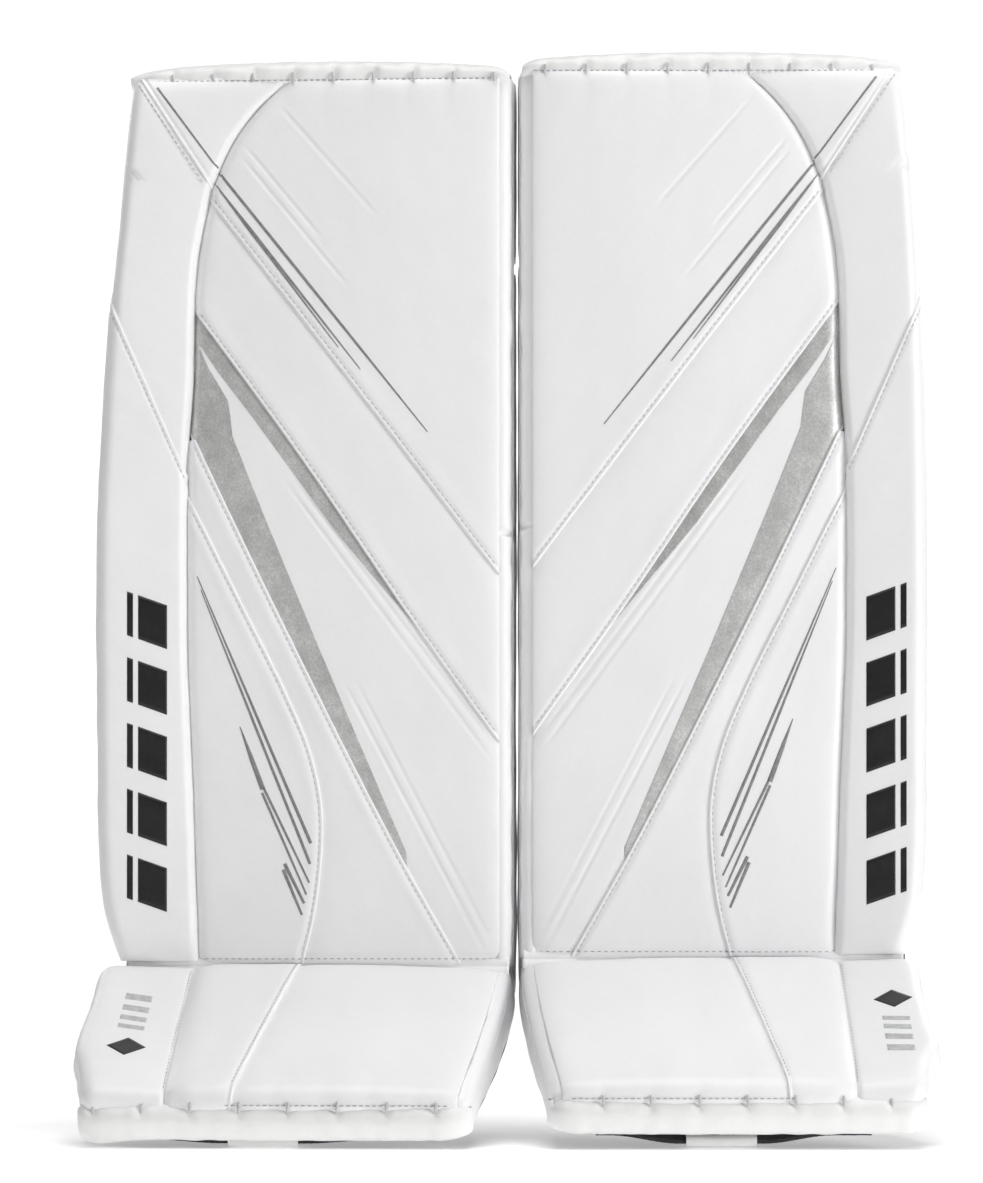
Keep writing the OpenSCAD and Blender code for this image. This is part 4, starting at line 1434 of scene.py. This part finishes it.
def cushion(x0, x1, y0, y1, z0, z1, r):
    """A stuffed block with seams round its two broad faces, the ones to the front and back."""
    voxel, grow, seam_in = 5.0, 1.2, 3.0
    bm = bmesh.new()
    bmesh.ops.create_cube(bm, size=1)
    inset = 1.6
    for v in bm.verts:
        v.co.x = (x1 - inset if v.co.x > 0 else x0 + inset) * MM
        v.co.y = (y1 - inset if v.co.y > 0 else y0 + inset * 0.4) * MM
        v.co.z = (z1 - inset if v.co.z > 0 else z0 + inset) * MM
    bmesh.ops.bevel(bm, geom=bm.edges[:], offset=r * MM, segments=3, profile=0.6,
                    affect="EDGES")
    mesh = bpy.data.meshes.new("cushion")
    bm.to_mesh(mesh)
    bm.free()
    obj = bpy.data.objects.new("cushion", mesh)
    bpy.context.scene.collection.objects.link(obj)

    def pinned(co):
        x, y, z = co.T
        side = (np.minimum(x - x0, x1 - x) < 3.4) | (np.minimum(z - z0, z1 - z) < 3.4)
        near = (np.abs(y - y1 + seam_in + 1.6) < voxel * 0.55) | (np.abs(y - y0 - seam_in)
                                                                < voxel * 0.55)
        return side & near

    def keep_in(co):
        lo = np.array((x0 - grow, y0 + 0.1, z0 - grow))
        hi = np.array((x1 + grow, y1 + 0.2, z1 + grow))
        return np.clip(co, lo, hi)

    soften(obj, voxel, pinned, 6.0, keep_in)
    subdivided(obj)
    bpy.context.scene.collection.objects.unlink(obj)
    return obj


def arc_points(centre, r, a):
    a = np.radians(a)
    return centre[0] + r * np.cos(a), centre[1] + r * np.sin(a)


WRAP_C = (158.0, 72.0)     # centre of the wraps round the leg: x and y
WRAP_OUT = 108.0
WRAP_IN = 97.0
WRAP_CORNER = 12.0


def curved_pad(arc, z0, z1, quilts):
    """A padded wrap on an arc, pinched along its quilting lines (angles)."""
    span = arc[1] - arc[0]
    a = np.linspace(0, 1, 120)[:, None]
    z = np.linspace(0, 1, 60)[None, :]
    up = z0 + (z1 - z0) * z + 0 * a
    mm_z = np.minimum(z, 1 - z) * (z1 - z0)
    corner = np.degrees(WRAP_CORNER * (1 - quarter(mm_z, WRAP_CORNER)) / WRAP_OUT)
    ang = arc[0] + corner + (span - 2 * corner) * a
    mm_a = np.minimum(a, 1 - a) * math.radians(span) * WRAP_OUT
    edge = quarter(mm_a, 7) * quarter(mm_z, 7)
    thin = np.ones_like(edge)
    for q in quilts:
        thin = thin * (1 - 0.62 * groove(ang - q, 1.1))
    half = (WRAP_OUT - WRAP_IN) / 2 * 0.72 * np.clip(edge, 0.25, 1) * thin
    mid = (WRAP_OUT + WRAP_IN) / 2
    xo, yo = arc_points(WRAP_C, mid + half, ang)
    xi, yi = arc_points(WRAP_C, mid - half, ang)
    obj = slab("curved", Plain.leg(xo, yo, up - ANKLE_Z), Plain.leg(xi, yi, up - ANKLE_Z), Plain,
               WHITE)

    def polar(co):
        dx, dy = co[:, 0] - WRAP_C[0], co[:, 1] - WRAP_C[1]
        return np.hypot(dx, dy), np.degrees(np.arctan2(dy, dx))

    def pinned(co):
        _, ang = polar(co)
        hit = np.zeros(len(co), bool)
        for q in quilts:
            hit |= np.abs(ang - q) < 0.9
        rim = np.minimum(np.minimum(ang - arc[0], arc[1] - ang) * math.radians(1) * WRAP_OUT,
                         np.minimum(co[:, 2] - z0, z1 - co[:, 2])) < 3.2
        return hit | rim

    def keep_in(co):
        r, _ = polar(co)
        k = np.clip(r, WRAP_IN - 0.6, WRAP_OUT + 0.2) / r
        out = co.copy()
        out[:, 0] = WRAP_C[0] + (co[:, 0] - WRAP_C[0]) * k
        out[:, 1] = WRAP_C[1] + (co[:, 1] - WRAP_C[1]) * k
        out[:, 2] = np.clip(co[:, 2], z0 - 0.5, z1 + 0.5)
        return out

    soften(obj, 4.2, pinned, 5.0, keep_in, 3.0)
    subdivided(obj)
    # sewn channels, on both sides
    co = coords(obj.data) / MM
    r, ang = polar(co)
    drawn = sum(groove(np.radians(ang - q) * WRAP_OUT, 3.0) for q in quilts)
    k = (r - np.clip(r - mid, -1.5, 1.5) * drawn * 0.9) / r
    co[:, 0] = WRAP_C[0] + (co[:, 0] - WRAP_C[0]) * k
    co[:, 1] = WRAP_C[1] + (co[:, 1] - WRAP_C[1]) * k
    obj.data.vertices.foreach_set("co", (co * MM).ravel())
    bpy.context.scene.collection.objects.unlink(obj)
    return obj


def loop_path(x0, x1, z0, z1, r):
    """A rounded rectangle in x and z."""
    pts = []
    for cx, cz, a0 in ((x1 - r, z1 - r, 0), (x0 + r, z1 - r, 90), (x0 + r, z0 + r, 180),
                       (x1 - r, z0 + r, 270)):
        for a in np.radians(np.linspace(a0, a0 + 90, 10)):
            pts.append((cx + r * math.cos(a), cz + r * math.sin(a)))
    pts.append(pts[0])
    p = np.array(pts)
    round_it = lengths(p)[-1]
    return sampled(p, np.linspace(0, round_it, int(round_it / 4)))


def outline_at(source, y, r):
    """A rounded rectangle (x, z) round an unplaced cushion, at depth y."""
    co = coords(source.data) / MM
    near = co[np.abs(co[:, 1] - y) < 2.5][:, [0, 2]]
    (x0, z0), (x1, z1) = near.min(0), near.max(0)
    return loop_path(x0 + 0.1, x1 - 0.1, z0 + 0.1, z1 - 0.1, r)


def strap_sides(pad, path, z0, z1, thick, lift=0.0, centre=None, across=9):
    """Outer and inner surface of a strap whose middle follows path (n x 2) in x and y. Outwards is
    away from centre, where one is given, and otherwise away from the leg, towards larger y."""
    t = np.gradient(path, axis=0)
    t /= np.linalg.norm(t, axis=1)[:, None]
    n = np.stack([t[:, 1], -t[:, 0]], 1)
    if centre is None:
        n = n * np.sign(n[:, 1].mean())
    else:
        n = n * np.sign(np.median(np.sign((n * (path - centre)).sum(1))))
    wide = z1 - z0
    w = np.array([0, 0.35, 1.0, 2.2, *np.linspace(4, wide - 4, across), wide - 2.2, wide - 1.0,
                  wide - 0.35, wide])
    off = thick / 2 * (quarter(np.minimum(w, wide - w), 1.0) * 0.55 + 0.45)[None, :]
    x, y, nx, ny = path[:, :1], path[:, 1:], n[:, :1], n[:, 1:]
    z = (z0 + w)[None, :] - ANKLE_Z + 0 * x
    return [pad.leg(x + nx * d, y + ny * d, z) for d in (lift + off, lift - off)]


def dense(points, step=2.5, smooth=True):
    """The path through points of (x, y) at equal steps, curved unless it is too short."""
    p = np.asarray(points, float)
    return sampled(p, np.arange(0, lengths(p)[-1] + step / 2, step), smooth and len(p) > 3)


def box_stitch(place, u0, u1, z0, z1, normal, seed):
    """A sewn box with a cross in it; place(u, z) gives a point on the surface."""
    parts = []
    corners = [(u0, z0), (u1, z0), (u1, z1), (u0, z1), (u0, z0)]
    lines = list(zip(corners[:-1], corners[1:])) + [(corners[0], corners[2]),
                                                    (corners[1], corners[3])]
    for i, (a, b) in enumerate(lines):
        pts = np.stack([place(a[0] + (b[0] - a[0]) * k, a[1] + (b[1] - a[1]) * k)
                        for k in np.linspace(0, 1, 24)])
        parts += stitch_row(pts, normal, pitch=3.2, length=2.2, radius=0.34, seed=seed + i)
    return parts


STRAP_R = WRAP_OUT + 1.9
STRAP_W = 38.0
STRAP_T = 2.6
CALF_STRAPS = (172.0, 272.0)   # lower edges of the straps
KNEE_STRAP = 418.0
CUSHION_Y = 53.2               # where the cushions begin, just behind the pad's back
STACK_STEP = 28.77             # from one layer of the knee stack to the next
CALF_Z = (135, 345)            # lower and upper ends of the two wraps
KNEE_Z = (368, 505)

CALF_BLOCK = cushion(3, 48, CUSHION_Y, 104, 126, 346, 9)
SIDE_BLOCK = cushion(238, 268, CUSHION_Y, 86, 126, 510, 7)
STACK = [cushion(3, 58 - 3 * i, CUSHION_Y + i * STACK_STEP,
                 CHANNEL_Y + (i + 1) * STACK_STEP - 0.4, 362, 510, 6.5) for i in range(3)]
CALF_ARC, CALF_QUILTS = (9, 148), (30, 52, 74, 96, 118, 138)
KNEE_ARC, KNEE_QUILTS = (9, 80), (30, 55)
CALF_WRAP = curved_pad(CALF_ARC, *CALF_Z, CALF_QUILTS)
KNEE_WING = curved_pad(KNEE_ARC, *KNEE_Z, KNEE_QUILTS)


def inner_side(c):
    """1 for faces on a wrap's inner side."""
    return (np.hypot(c[:, 0] - WRAP_C[0], c[:, 1] - WRAP_C[1]) < 101.5) * 1


def build_strap(pad, name, arc, end_points, z0):
    s = pad.side
    x, y = arc_points(WRAP_C, STRAP_R, np.linspace(*arc, 24))
    path = dense(np.concatenate([np.stack([x, y], 1), np.array(end_points)]), 2.0)
    # the webbing, its folded and sewn end, and the pile patch on the outside
    for piece, line, inset, thick, lift, mat, nodes in (
            ("webbing", path, 0, STRAP_T, 0.0, WEBBING, (name,)),
            ("end_fold", path[-9:], 1, 1.8, 1.9, WEBBING, ()),
            ("loop_pile", path[len(path) // 2:-12], 4, 1.0, 1.6, LOOP, ())):
        sides = strap_sides(pad, line, z0 + inset, z0 + STRAP_W - inset, thick, lift)
        attach(pad, slab(f"{s}_{name}_{piece}", *sides, pad, mat), name, *nodes)

    def place(u, z):
        ang = arc[0] + u / STRAP_R / math.radians(1)
        px, py = arc_points(WRAP_C, STRAP_R + 1.55, ang)
        return pad.leg(px, py, z0 + z - ANKLE_Z)

    n = place(14, 19) - pad.leg(*arc_points(WRAP_C, STRAP_R, arc[0] + 7), z0 + 19 - ANKLE_Z)
    sewn(pad, name + "_stitches", box_stitch(place, 3, 26, 4, STRAP_W - 4, n, 31), name,
         THREAD_PAINTED_SHADE)


def build_back(pad):
    s = pad.side
    for name, source, mats, index, nodes, padded in (
            ("calf_block_pad", CALF_BLOCK, [LINER, BLACK_LEATHER],
             lambda c: (c[:, 1] > 96) * 1, ("calf_block",), 0.8),
            ("side_block_pad", SIDE_BLOCK, [LINER, WHITE],
             lambda c: (c[:, 0] > 262) * 1, ("side_block",), 0.8),
            *((f"knee_stack_layer_{i + 1}", STACK[i], [BLACK_LEATHER, NYLON],
               lambda c: (np.abs(c[:, 2] - 436) < 68) * 1, () if i else ("knee_stack",), 0.85)
              for i in range(3))):
        obj = set_on(pad, f"{s}_{name}", source, mats, index)
        attach(pad, obj, "shin", *nodes, padded=padded)

    # Piping round the broad faces
    def piping(source, y, corner, radius):
        p = outline_at(source, y, corner)
        return pipe(pad.leg(p[:, 0], y, p[:, 1] - ANKLE_Z), radius)

    layers = [(STACK[i], CUSHION_Y + i * STACK_STEP + d) for i in range(3) for d in (3.2, 24.6)]
    parts = [piping(source, y, 8, 1.35) for source, y in [(CALF_BLOCK, 100.0)] + layers]
    attach(pad, join(s + "_pad_piping", parts, pad, BLACK_LEATHER), "shin")
    parts = [piping(SIDE_BLOCK, 82.5, 6, 1.3)]
    attach(pad, join(s + "_side_block_piping", parts, pad, WHITE_SOFT), "shin")

    for name, src, arc, (z0, z1), quilts in (
            ("calf_wrap", CALF_WRAP, CALF_ARC, CALF_Z, CALF_QUILTS),
            ("knee_wing", KNEE_WING, KNEE_ARC, KNEE_Z, KNEE_QUILTS)):
        obj = set_on(pad, f"{s}_{name}_pad", src, [WHITE, LINER], inner_side)
        attach(pad, obj, name, name, padded=0.7)
        # bound rim
        mid = (WRAP_IN + WRAP_OUT) / 2
        p = loop_path(0, math.radians(arc[1] - arc[0]) * mid, z0, z1, WRAP_CORNER)
        x, y = arc_points(WRAP_C, mid, arc[0] + np.degrees(p[:, 0] / mid))
        rim = [pipe(pad.leg(x, y, p[:, 1] - ANKLE_Z), 2.7, 10)]
        attach(pad, join(f"{s}_{name}_binding", rim, pad, WHITE_SOFT), name)
        # stitches along the channels
        parts = []
        for q in quilts:
            zs = np.linspace(z0 + 7, z1 - 7, 60)
            x, y = arc_points(WRAP_C, WRAP_OUT - 2.4, q)
            out = pad.leg(*arc_points(WRAP_C, WRAP_OUT, q), 0) - pad.leg(x, y, 0)
            parts += stitch_row(pad.leg(x, y, zs - ANKLE_Z), out, pitch=4.6, length=3.2,
                                radius=0.45, seed=q)
        sewn(pad, name + "_stitches", parts, name)

    # Straps, whose last stretch lies flat on a hook patch
    calf_end = [(47, 108.5), (30, 107.6), (12, 106.6)]
    build_strap(pad, "upper_calf_strap", (64, 148), calf_end, CALF_STRAPS[1])
    build_strap(pad, "lower_calf_strap", (64, 148), calf_end, CALF_STRAPS[0])
    build_strap(pad, "knee_strap", (44, 80), [(62, 143), (38, 142.3), (14, 141.6)], KNEE_STRAP)
    patches = []
    for x0, x1, y, z0, z1 in ((8, 42, 104.6, 178, 204), (8, 42, 104.6, 278, 304),
                              (10, 48, 139.6, 423, 451)):
        gx, gz = np.meshgrid(np.linspace(x0, x1, 18), np.linspace(z0, z1, 14))
        patches.append(slab_parts(pad.leg(gx, y + 0.7, gz - ANKLE_Z)[::-1],
                                  pad.leg(gx, y - 0.9, gz - ANKLE_Z)[::-1]))
    attach(pad, join(s + "_hook_patches", patches, pad, LOOP), "shin")

    # Boot strap: from the outer edge, round behind the ankle, to the medial edge
    a = np.radians(np.linspace(0, 180, 60))
    flat = CHANNEL_Y + 1.6
    loop = np.stack([MID_X + 122 * np.cos(a), flat + 84 * np.sin(a)], 1)
    path = dense(np.concatenate([[(268, flat)], loop, [(8, flat)]]), 2.5, False)
    for piece, line, z0, z1, thick, lift, mat, nodes in (
            ("webbing", path, 88, 118, STRAP_T, 0.0, WEBBING, ("boot_strap",)),
            ("loop_pile", path[70:150], 92, 114, 1.0, 1.6, LOOP, ())):
        sides = strap_sides(pad, line, z0, z1, thick, lift, np.array((MID_X, flat)), 7)
        attach(pad, slab(f"{s}_boot_strap_{piece}", *sides, pad, mat), "boot_strap", *nodes)

    build_hardware(pad)
    build_bridge(pad)


def rounded_plate(x0, x1, y0, y1, z0, z1, r, bevel=0.5):
    """Vertices and faces of a plate, thin along x, with rounded corners (local mm)."""
    bm = bmesh.new()
    bmesh.ops.create_cube(bm, size=1)
    for v in bm.verts:
        v.co = Vector((x1 if v.co.x > 0 else x0, y1 if v.co.y > 0 else y0,
                       z1 if v.co.z > 0 else z0))
    edges = [e for e in bm.edges if abs(e.verts[0].co.x - e.verts[1].co.x) > 0.01]
    bmesh.ops.bevel(bm, geom=edges, offset=r, segments=5, profile=0.5, affect="EDGES")
    edges = [e for e in bm.edges if e.calc_face_angle(0) > 0.8]
    bmesh.ops.bevel(bm, geom=edges, offset=bevel, segments=2, profile=0.5, affect="EDGES")
    bm.verts.ensure_lookup_table()
    v = np.array([list(p.co) for p in bm.verts])
    f = [tuple(p.index for p in q.verts) for q in bm.faces]
    bm.free()
    return v, f


def screw_head(centre, r, height, sides=24):
    """A domed head on the +x side with a cross recess (local mm)."""
    rings = []
    for k, h in ((1, 0), (1, 0.35), (0.93, 0.62), (0.78, 0.85), (0.5, 0.98), (0.3, 1.0)):
        rings.append([(centre[0] + h * height, centre[1] + r * k * math.cos(a),
                       centre[2] + r * k * math.sin(a))
                      for a in np.linspace(0, 2 * math.pi, sides, endpoint=False)])
    cross = []
    for i, a in enumerate(np.linspace(0, 2 * math.pi, sides, endpoint=False)):
        k = 0.26 if i % 6 < 3 else 0.12
        cross.append((centre[0] + height * (0.99 if i % 2 else 0.97), centre[1] + r * k
                      * math.cos(a), centre[2] + r * k * math.sin(a)))
    rings.append(cross)
    rings.append([(centre[0] + 0.35 * height, p[1], p[2]) for p in cross])
    return tube(np.array(rings))


def build_hardware(pad):
    s = pad.side
    plates, screws = [], []
    for z in (*CALF_STRAPS, KNEE_STRAP):
        m = z + STRAP_W / 2
        v, f = rounded_plate(268.3, 270.3, 58, 80, m - 16, m + 16, 4)
        plates.append((pad.place(v), f))
        for dz in (-8, 8):
            v, f = screw_head((270.2, 69, m + dz), 4.2, 1.9)
            screws.append((pad.place(v), f))
    attach(pad, join(s + "_anchor_plates", plates, pad, PLASTIC, smooth=False), "shin",
           "strap_hardware", slot="hardware")
    obj = attach(pad, join(s + "_anchor_screws", screws, pad, NICKEL), "shin")
    smooth_normals(obj, 40)
    # Webbing tabs under the plates
    tabs = []
    for z in (*CALF_STRAPS, KNEE_STRAP):
        gy, gz = np.meshgrid(np.linspace(55.5, 88.5, 20), np.linspace(z + 2, z + STRAP_W - 2, 20))
        bend = np.clip(gy - 82, 0, None)
        gx = 267.9 - bend * 0.35
        tabs.append(slab_parts(pad.place(np.stack([gx + 0.3, gy, gz], -1)),
                               pad.place(np.stack([gx - 2.0, gy, gz], -1))))
    attach(pad, join(s + "_anchor_tabs", tabs, pad, WEBBING), "shin")


BRIDGE_X = (48.0, 228.0)
BRIDGE_W = 24.0
BRIDGE_T = 2.6
BRIDGE_PIVOT = (33.0, -158.0)  # its sewn edge in the boot's own frame: y and z
SQUEEZED = -19.6               # the webbing's low edge is squeezed from here down
KEEPER_X = {"left": 130.0, "right": 154.0}
BRIDGE_LIFT = {"left": math.radians(13), "right": math.radians(4)}   # turn of the ends, upwards


def build_bridge(pad):
    s = pad.side
    drop = pad.origin.z / MM
    wall_t, gap = 1.8, 0.2
    corner = (BRIDGE_W + wall_t + gap, BRIDGE_T + wall_t + gap)
    b = math.radians(BOOT_ANGLE)
    height = ANKLE_Z + BRIDGE_PIVOT[1] * math.cos(b) - BRIDGE_PIVOT[0] * math.sin(b)
    tilt = (math.asin((drop + height) / math.hypot(*corner)) - math.atan(corner[1] / corner[0])
            - (math.pi / 2 - b))

    def slack(x):
        """0 at the keeper, where the webbing hangs lowest, to 1 towards its two ends."""
        k = np.clip((np.abs(x - KEEPER_X[s]) - 28) / 45, 0, 1)
        return k * k * (3 - 2 * k)

    def place(x, y, z, turn=0.0):
        """A point of the bridge's own frame, which hangs from its sewn edge."""
        x, y, z = np.broadcast_arrays(*(np.asarray(v, float) for v in (x, y, z)))
        yy = y * np.cos(tilt - turn) - z * np.sin(tilt - turn)
        zz = y * np.sin(tilt - turn) + z * np.cos(tilt - turn)
        return pad.boot(x, yy + BRIDGE_PIVOT[0], zz + BRIDGE_PIVOT[1])

    # Webbing with two holes: rings round each eyelet joined to a frame
    def webbing(x, z, y):
        ripples = 0.075 * np.sin(x * 1.45)
        low = SQUEEZED + (z - SQUEEZED) * (1 - 0.6 * slack(x))
        return place(x, y + ripples, np.where(z < SQUEEZED, low, z), BRIDGE_LIFT[s] * slack(x))

    eyelets = (BRIDGE_X[0] + 16, BRIDGE_X[1] - 16)
    verts, faces = [], []
    cells = []
    half = BRIDGE_W / 2
    sides = 32
    for e in eyelets:
        ang = np.linspace(0, 2 * math.pi, sides, endpoint=False) + math.pi / 4
        rings = []
        for k in (0.0, 0.15, 0.4, 0.7, 1.0):
            c, sn = np.cos(ang), np.sin(ang)
            sq = 1 / np.maximum(np.abs(c), np.abs(sn))
            r = 4.0 * (1 - k) + half * sq * k
            rings.append(np.stack([e + r * c, -half + r * sn], -1))
        cells.append(np.array(rings))
    for ring in cells:
        n0 = sum(len(v) for v in verts)
        cnt = ring.shape[0] * sides
        f = webbing(ring[..., 0], ring[..., 1], 0.0).reshape(-1, 3)
        bk = webbing(ring[..., 0], ring[..., 1], BRIDGE_T).reshape(-1, 3)
        verts += [f, bk]
        faces += [tuple(reversed(q)) for q in grid_faces(5, sides, n0, wrap=True)]
        faces += grid_faces(5, sides, n0 + cnt, wrap=True)
        for row in (0, 4):
            for i in range(sides):
                a = n0 + row * sides + i
                c = n0 + row * sides + (i + 1) % sides
                quad = (a, c, c + cnt, a + cnt)
                faces.append(quad if row == 4 else tuple(reversed(quad)))
    parts = [(np.concatenate(verts), faces)]
    for x0, x1 in ((BRIDGE_X[0], eyelets[0] - half), (eyelets[0] + half, eyelets[1] - half),
                   (eyelets[1] + half, BRIDGE_X[1])):
        gx, gz = np.meshgrid(np.linspace(x0, x1, max(6, int((x1 - x0) / 2))),
                             -np.array([0, 0.4, 1.2, 3, 7, 12, 17, 21, 22.8, 23.6, 24]))
        parts.append(slab_parts(webbing(gx, gz, 0.0)[::-1], webbing(gx, gz, BRIDGE_T)[::-1]))
    obj = join(s + "_toe_bridge_webbing", parts, pad, WEBBING)
    smooth_normals(obj, 50)
    attach(pad, obj, "toe_bridge", "toe_bridge", slot="toe_webbing")

    grommets = []
    for e in eyelets:
        rings = []
        for r, y in ((4.0, 1.3), (4.05, -0.1), (4.6, -0.75), (5.8, -0.85), (6.8, -0.45),
                     (7.0, 0.0), (7.0, BRIDGE_T), (6.8, BRIDGE_T + 0.45), (5.8, BRIDGE_T + 0.85),
                     (4.6, BRIDGE_T + 0.75), (4.05, BRIDGE_T + 0.1)):
            a = np.linspace(0, 2 * math.pi, 40, endpoint=False)
            rings.append(place(e + r * np.cos(a), y, -half + r * np.sin(a),
                               BRIDGE_LIFT[s] * slack(e)))
        v = np.array(rings)
        n = len(rings)
        f = grid_faces(n, 40, 0, wrap=True) + [
            ((n - 1) * 40 + i, (n - 1) * 40 + (i + 1) % 40, (i + 1) % 40, i) for i in range(40)]
        grommets.append((v.reshape(-1, 3), f))
    attach(pad, join(s + "_eyelets", grommets, pad, NICKEL), "toe_bridge", slot="hardware")

    # Sewn hinge of the bridge on the sole
    gx, a = np.meshgrid(np.linspace(BRIDGE_X[0] - 3, BRIDGE_X[1] + 3, 90),
                        np.linspace(0, 2 * math.pi, 16, endpoint=False), indexing="ij")
    ring = place(gx, BRIDGE_T / 2 - 1.0 + 2.2 * np.cos(a), 1.6 + 2.6 * np.sin(a))
    attach(pad, join(s + "_bridge_welt", [tube(ring)], pad, BLACK_LEATHER), "boot")

    # Keeper: one strip of leather folded under the webbing
    kx, low = KEEPER_X[s], -BRIDGE_W - gap
    half_w = 23.0
    out_y0, out_y1 = -gap - wall_t, BRIDGE_T + gap + wall_t
    r_o = (out_y1 - out_y0) / 2
    mid = (out_y0 + out_y1) / 2
    a = np.linspace(0, math.pi, 13)
    prof_o = np.concatenate([[(out_y0, v) for v in np.linspace(-2, low + 1.4, 14)],
                             np.stack([mid - r_o * np.cos(a), low + 1.2 - (wall_t + 1.2)
                                       * np.sin(a) ** 0.7], 1),
                             [(out_y1, v) for v in np.linspace(low + 1.4, -2, 14)]])
    r_i = r_o - wall_t
    prof_i = np.concatenate([[(out_y0 + wall_t, v) for v in np.linspace(-2, low + 1.4, 14)],
                             np.stack([mid - r_i * np.cos(a), low + 1.2 - 1.2
                                       * np.sin(a) ** 0.7], 1),
                             [(out_y1 - wall_t, v) for v in np.linspace(low + 1.4, -2, 14)]])
    xs = np.concatenate([[0, 0.3, 0.9, 2], np.linspace(4, 2 * half_w - 4, 14),
                         2 * half_w - np.array([2, 0.9, 0.3, 0])]) - half_w + kx
    curl = 0.35 * np.cos((xs - kx) / half_w * math.pi)
    f = place(xs[:, None], prof_o[None, :, 0] + curl[:, None] * 0.4, prof_o[None, :, 1])
    g = place(xs[:, None], prof_i[None, :, 0] + curl[:, None] * 0.4, prof_i[None, :, 1])
    attach(pad, slab(s + "_toe_keeper_leather", f, g, pad, WHITE_SOFT), "toe_keeper",
           "toe_keeper")
    front = place(0, -1, 0) - place(0, 0, 0)
    parts = []
    for zz, seed in ((-13.0, 61), (low + 3.0, 62)):
        xs = np.linspace(kx - half_w + 2.5, kx + half_w - 2.5, 60)
        parts += stitch_row(place(xs, out_y0 - 0.05, zz), front, pitch=3.2, length=2.3,
                            radius=0.24, seed=seed)
    for dx in (-half_w + 3, half_w - 3):
        zs = np.linspace(-14.0, low + 4, 30)
        parts += stitch_row(place(kx + dx, out_y0 - 0.05, zs), front, pitch=3.2, length=2.3,
                            radius=0.24, seed=63)
    sewn(pad, "keeper_stitches", parts, "toe_keeper")


for pad in PADS.values():
    build_face(pad)
    build_roll(pad)
    build_sides(pad)
    build_boot(pad)
    build_bindings(pad)
    build_back(pad)

# ---- Floor, light and camera -------------------------------------------------------------

bpy.ops.mesh.primitive_plane_add(size=14, location=(0, 0, -0.0004))
floor = bpy.context.object
floor.name = "floor"
floor_mat = Mat("floor_paper", 0.75, color=(0.93, 0.93, 0.93), specular=0.1)
floor_mat.b.inputs["Emission Color"].default_value = (1, 1, 1, 1)
floor_mat.b.inputs["Emission Strength"].default_value = 0.33
glow = floor_mat.node("ShaderNodeEmission")
glow.inputs["Strength"].default_value = 1.05
reach = floor_mat.node("ShaderNodeVectorMath", operation="LENGTH")
floor_mat.link(floor_mat.coord, reach.inputs[0])
# the paper is lit round the pads and glows evenly further out
far = floor_mat.node("ShaderNodeMapRange", interpolation_type="SMOOTHSTEP")
far.inputs["From Min"].default_value = 0.42
far.inputs["From Max"].default_value = 1.1
floor_mat.link(reach.outputs["Value"], far.inputs["Value"])
blend_floor = floor_mat.node("ShaderNodeMixShader")
floor_mat.link(far.outputs["Result"], blend_floor.inputs["Fac"])
floor_mat.link(floor_mat.b.outputs[0], blend_floor.inputs[1])
floor_mat.link(glow.outputs[0], blend_floor.inputs[2])
floor_mat.link(blend_floor.outputs[0], floor_mat.t.nodes["Material Output"].inputs["Surface"])
floor.data.materials.append(floor_mat.m)

world = bpy.data.worlds.new("studio")
bpy.context.scene.world = world
world.use_nodes = True
wt = world.node_tree
bg = wt.nodes["Background"]
bg.inputs["Color"].default_value = (1, 1, 1, 1)
bg.inputs["Strength"].default_value = 0.03
seen = wt.nodes.new("ShaderNodeBackground")
seen.inputs["Color"].default_value = (1, 1, 1, 1)
seen.inputs["Strength"].default_value = 1.1
path = wt.nodes.new("ShaderNodeLightPath")
blend = wt.nodes.new("ShaderNodeMixShader")
wt.links.new(path.outputs["Is Camera Ray"], blend.inputs["Fac"])
wt.links.new(bg.outputs[0], blend.inputs[1])
wt.links.new(seen.outputs[0], blend.inputs[2])
wt.links.new(blend.outputs[0], wt.nodes["World Output"].inputs["Surface"])


def area_light(name, azimuth, elevation, size, watts, away=3.4):
    """A soft light round the pads; azimuth 0 is in front of them and 90 to their right."""
    a, e = math.radians(azimuth), math.radians(elevation)
    middle = Vector((0, 0, 0.37))
    data = bpy.data.lights.new(name, "AREA")
    data.shape = "RECTANGLE"
    data.size, data.size_y = size
    data.energy = watts
    obj = bpy.data.objects.new(name, data)
    obj.location = middle + away * Vector((math.cos(e) * math.sin(a), -math.cos(e) * math.cos(a),
                                           math.sin(e)))
    obj.rotation_euler = (middle - obj.location).to_track_quat("-Z", "Y").to_euler()
    bpy.context.scene.collection.objects.link(obj)


area_light("key", 57, 8, (1.4, 1.8), 60)
area_light("fill", -50, 35, (1.4, 1.8), 2)
area_light("overhead", 0, 80, (2.4, 2.4), 89)
area_light("back_left", 150, 25, (1.6, 1.8), 34)
area_light("back_right", -145, 30, (1.6, 1.8), 26)

VIEW_H = 0.809         # height of the view at the faces
VIEW_D = 3.0           # distance of the camera from the faces
FACE_PLANE = -0.0128
VIEW_Z = 0.17          # height of the camera; the frame is shifted up from there
data = bpy.data.cameras.new("camera")
camera = bpy.data.objects.new("camera", data)
bpy.context.scene.collection.objects.link(camera)
data.sensor_fit = "VERTICAL"
data.sensor_height = 24
data.lens = 12 / (VIEW_H / 2 / VIEW_D)
camera.location = (-0.0163, FACE_PLANE - VIEW_D, VIEW_Z)
data.shift_y = (0.372 - VIEW_Z) / VIEW_H
camera.rotation_euler = (math.pi / 2, 0, 0)
bpy.context.scene.camera = camera
bpy.context.scene.view_settings.view_transform = "Standard"
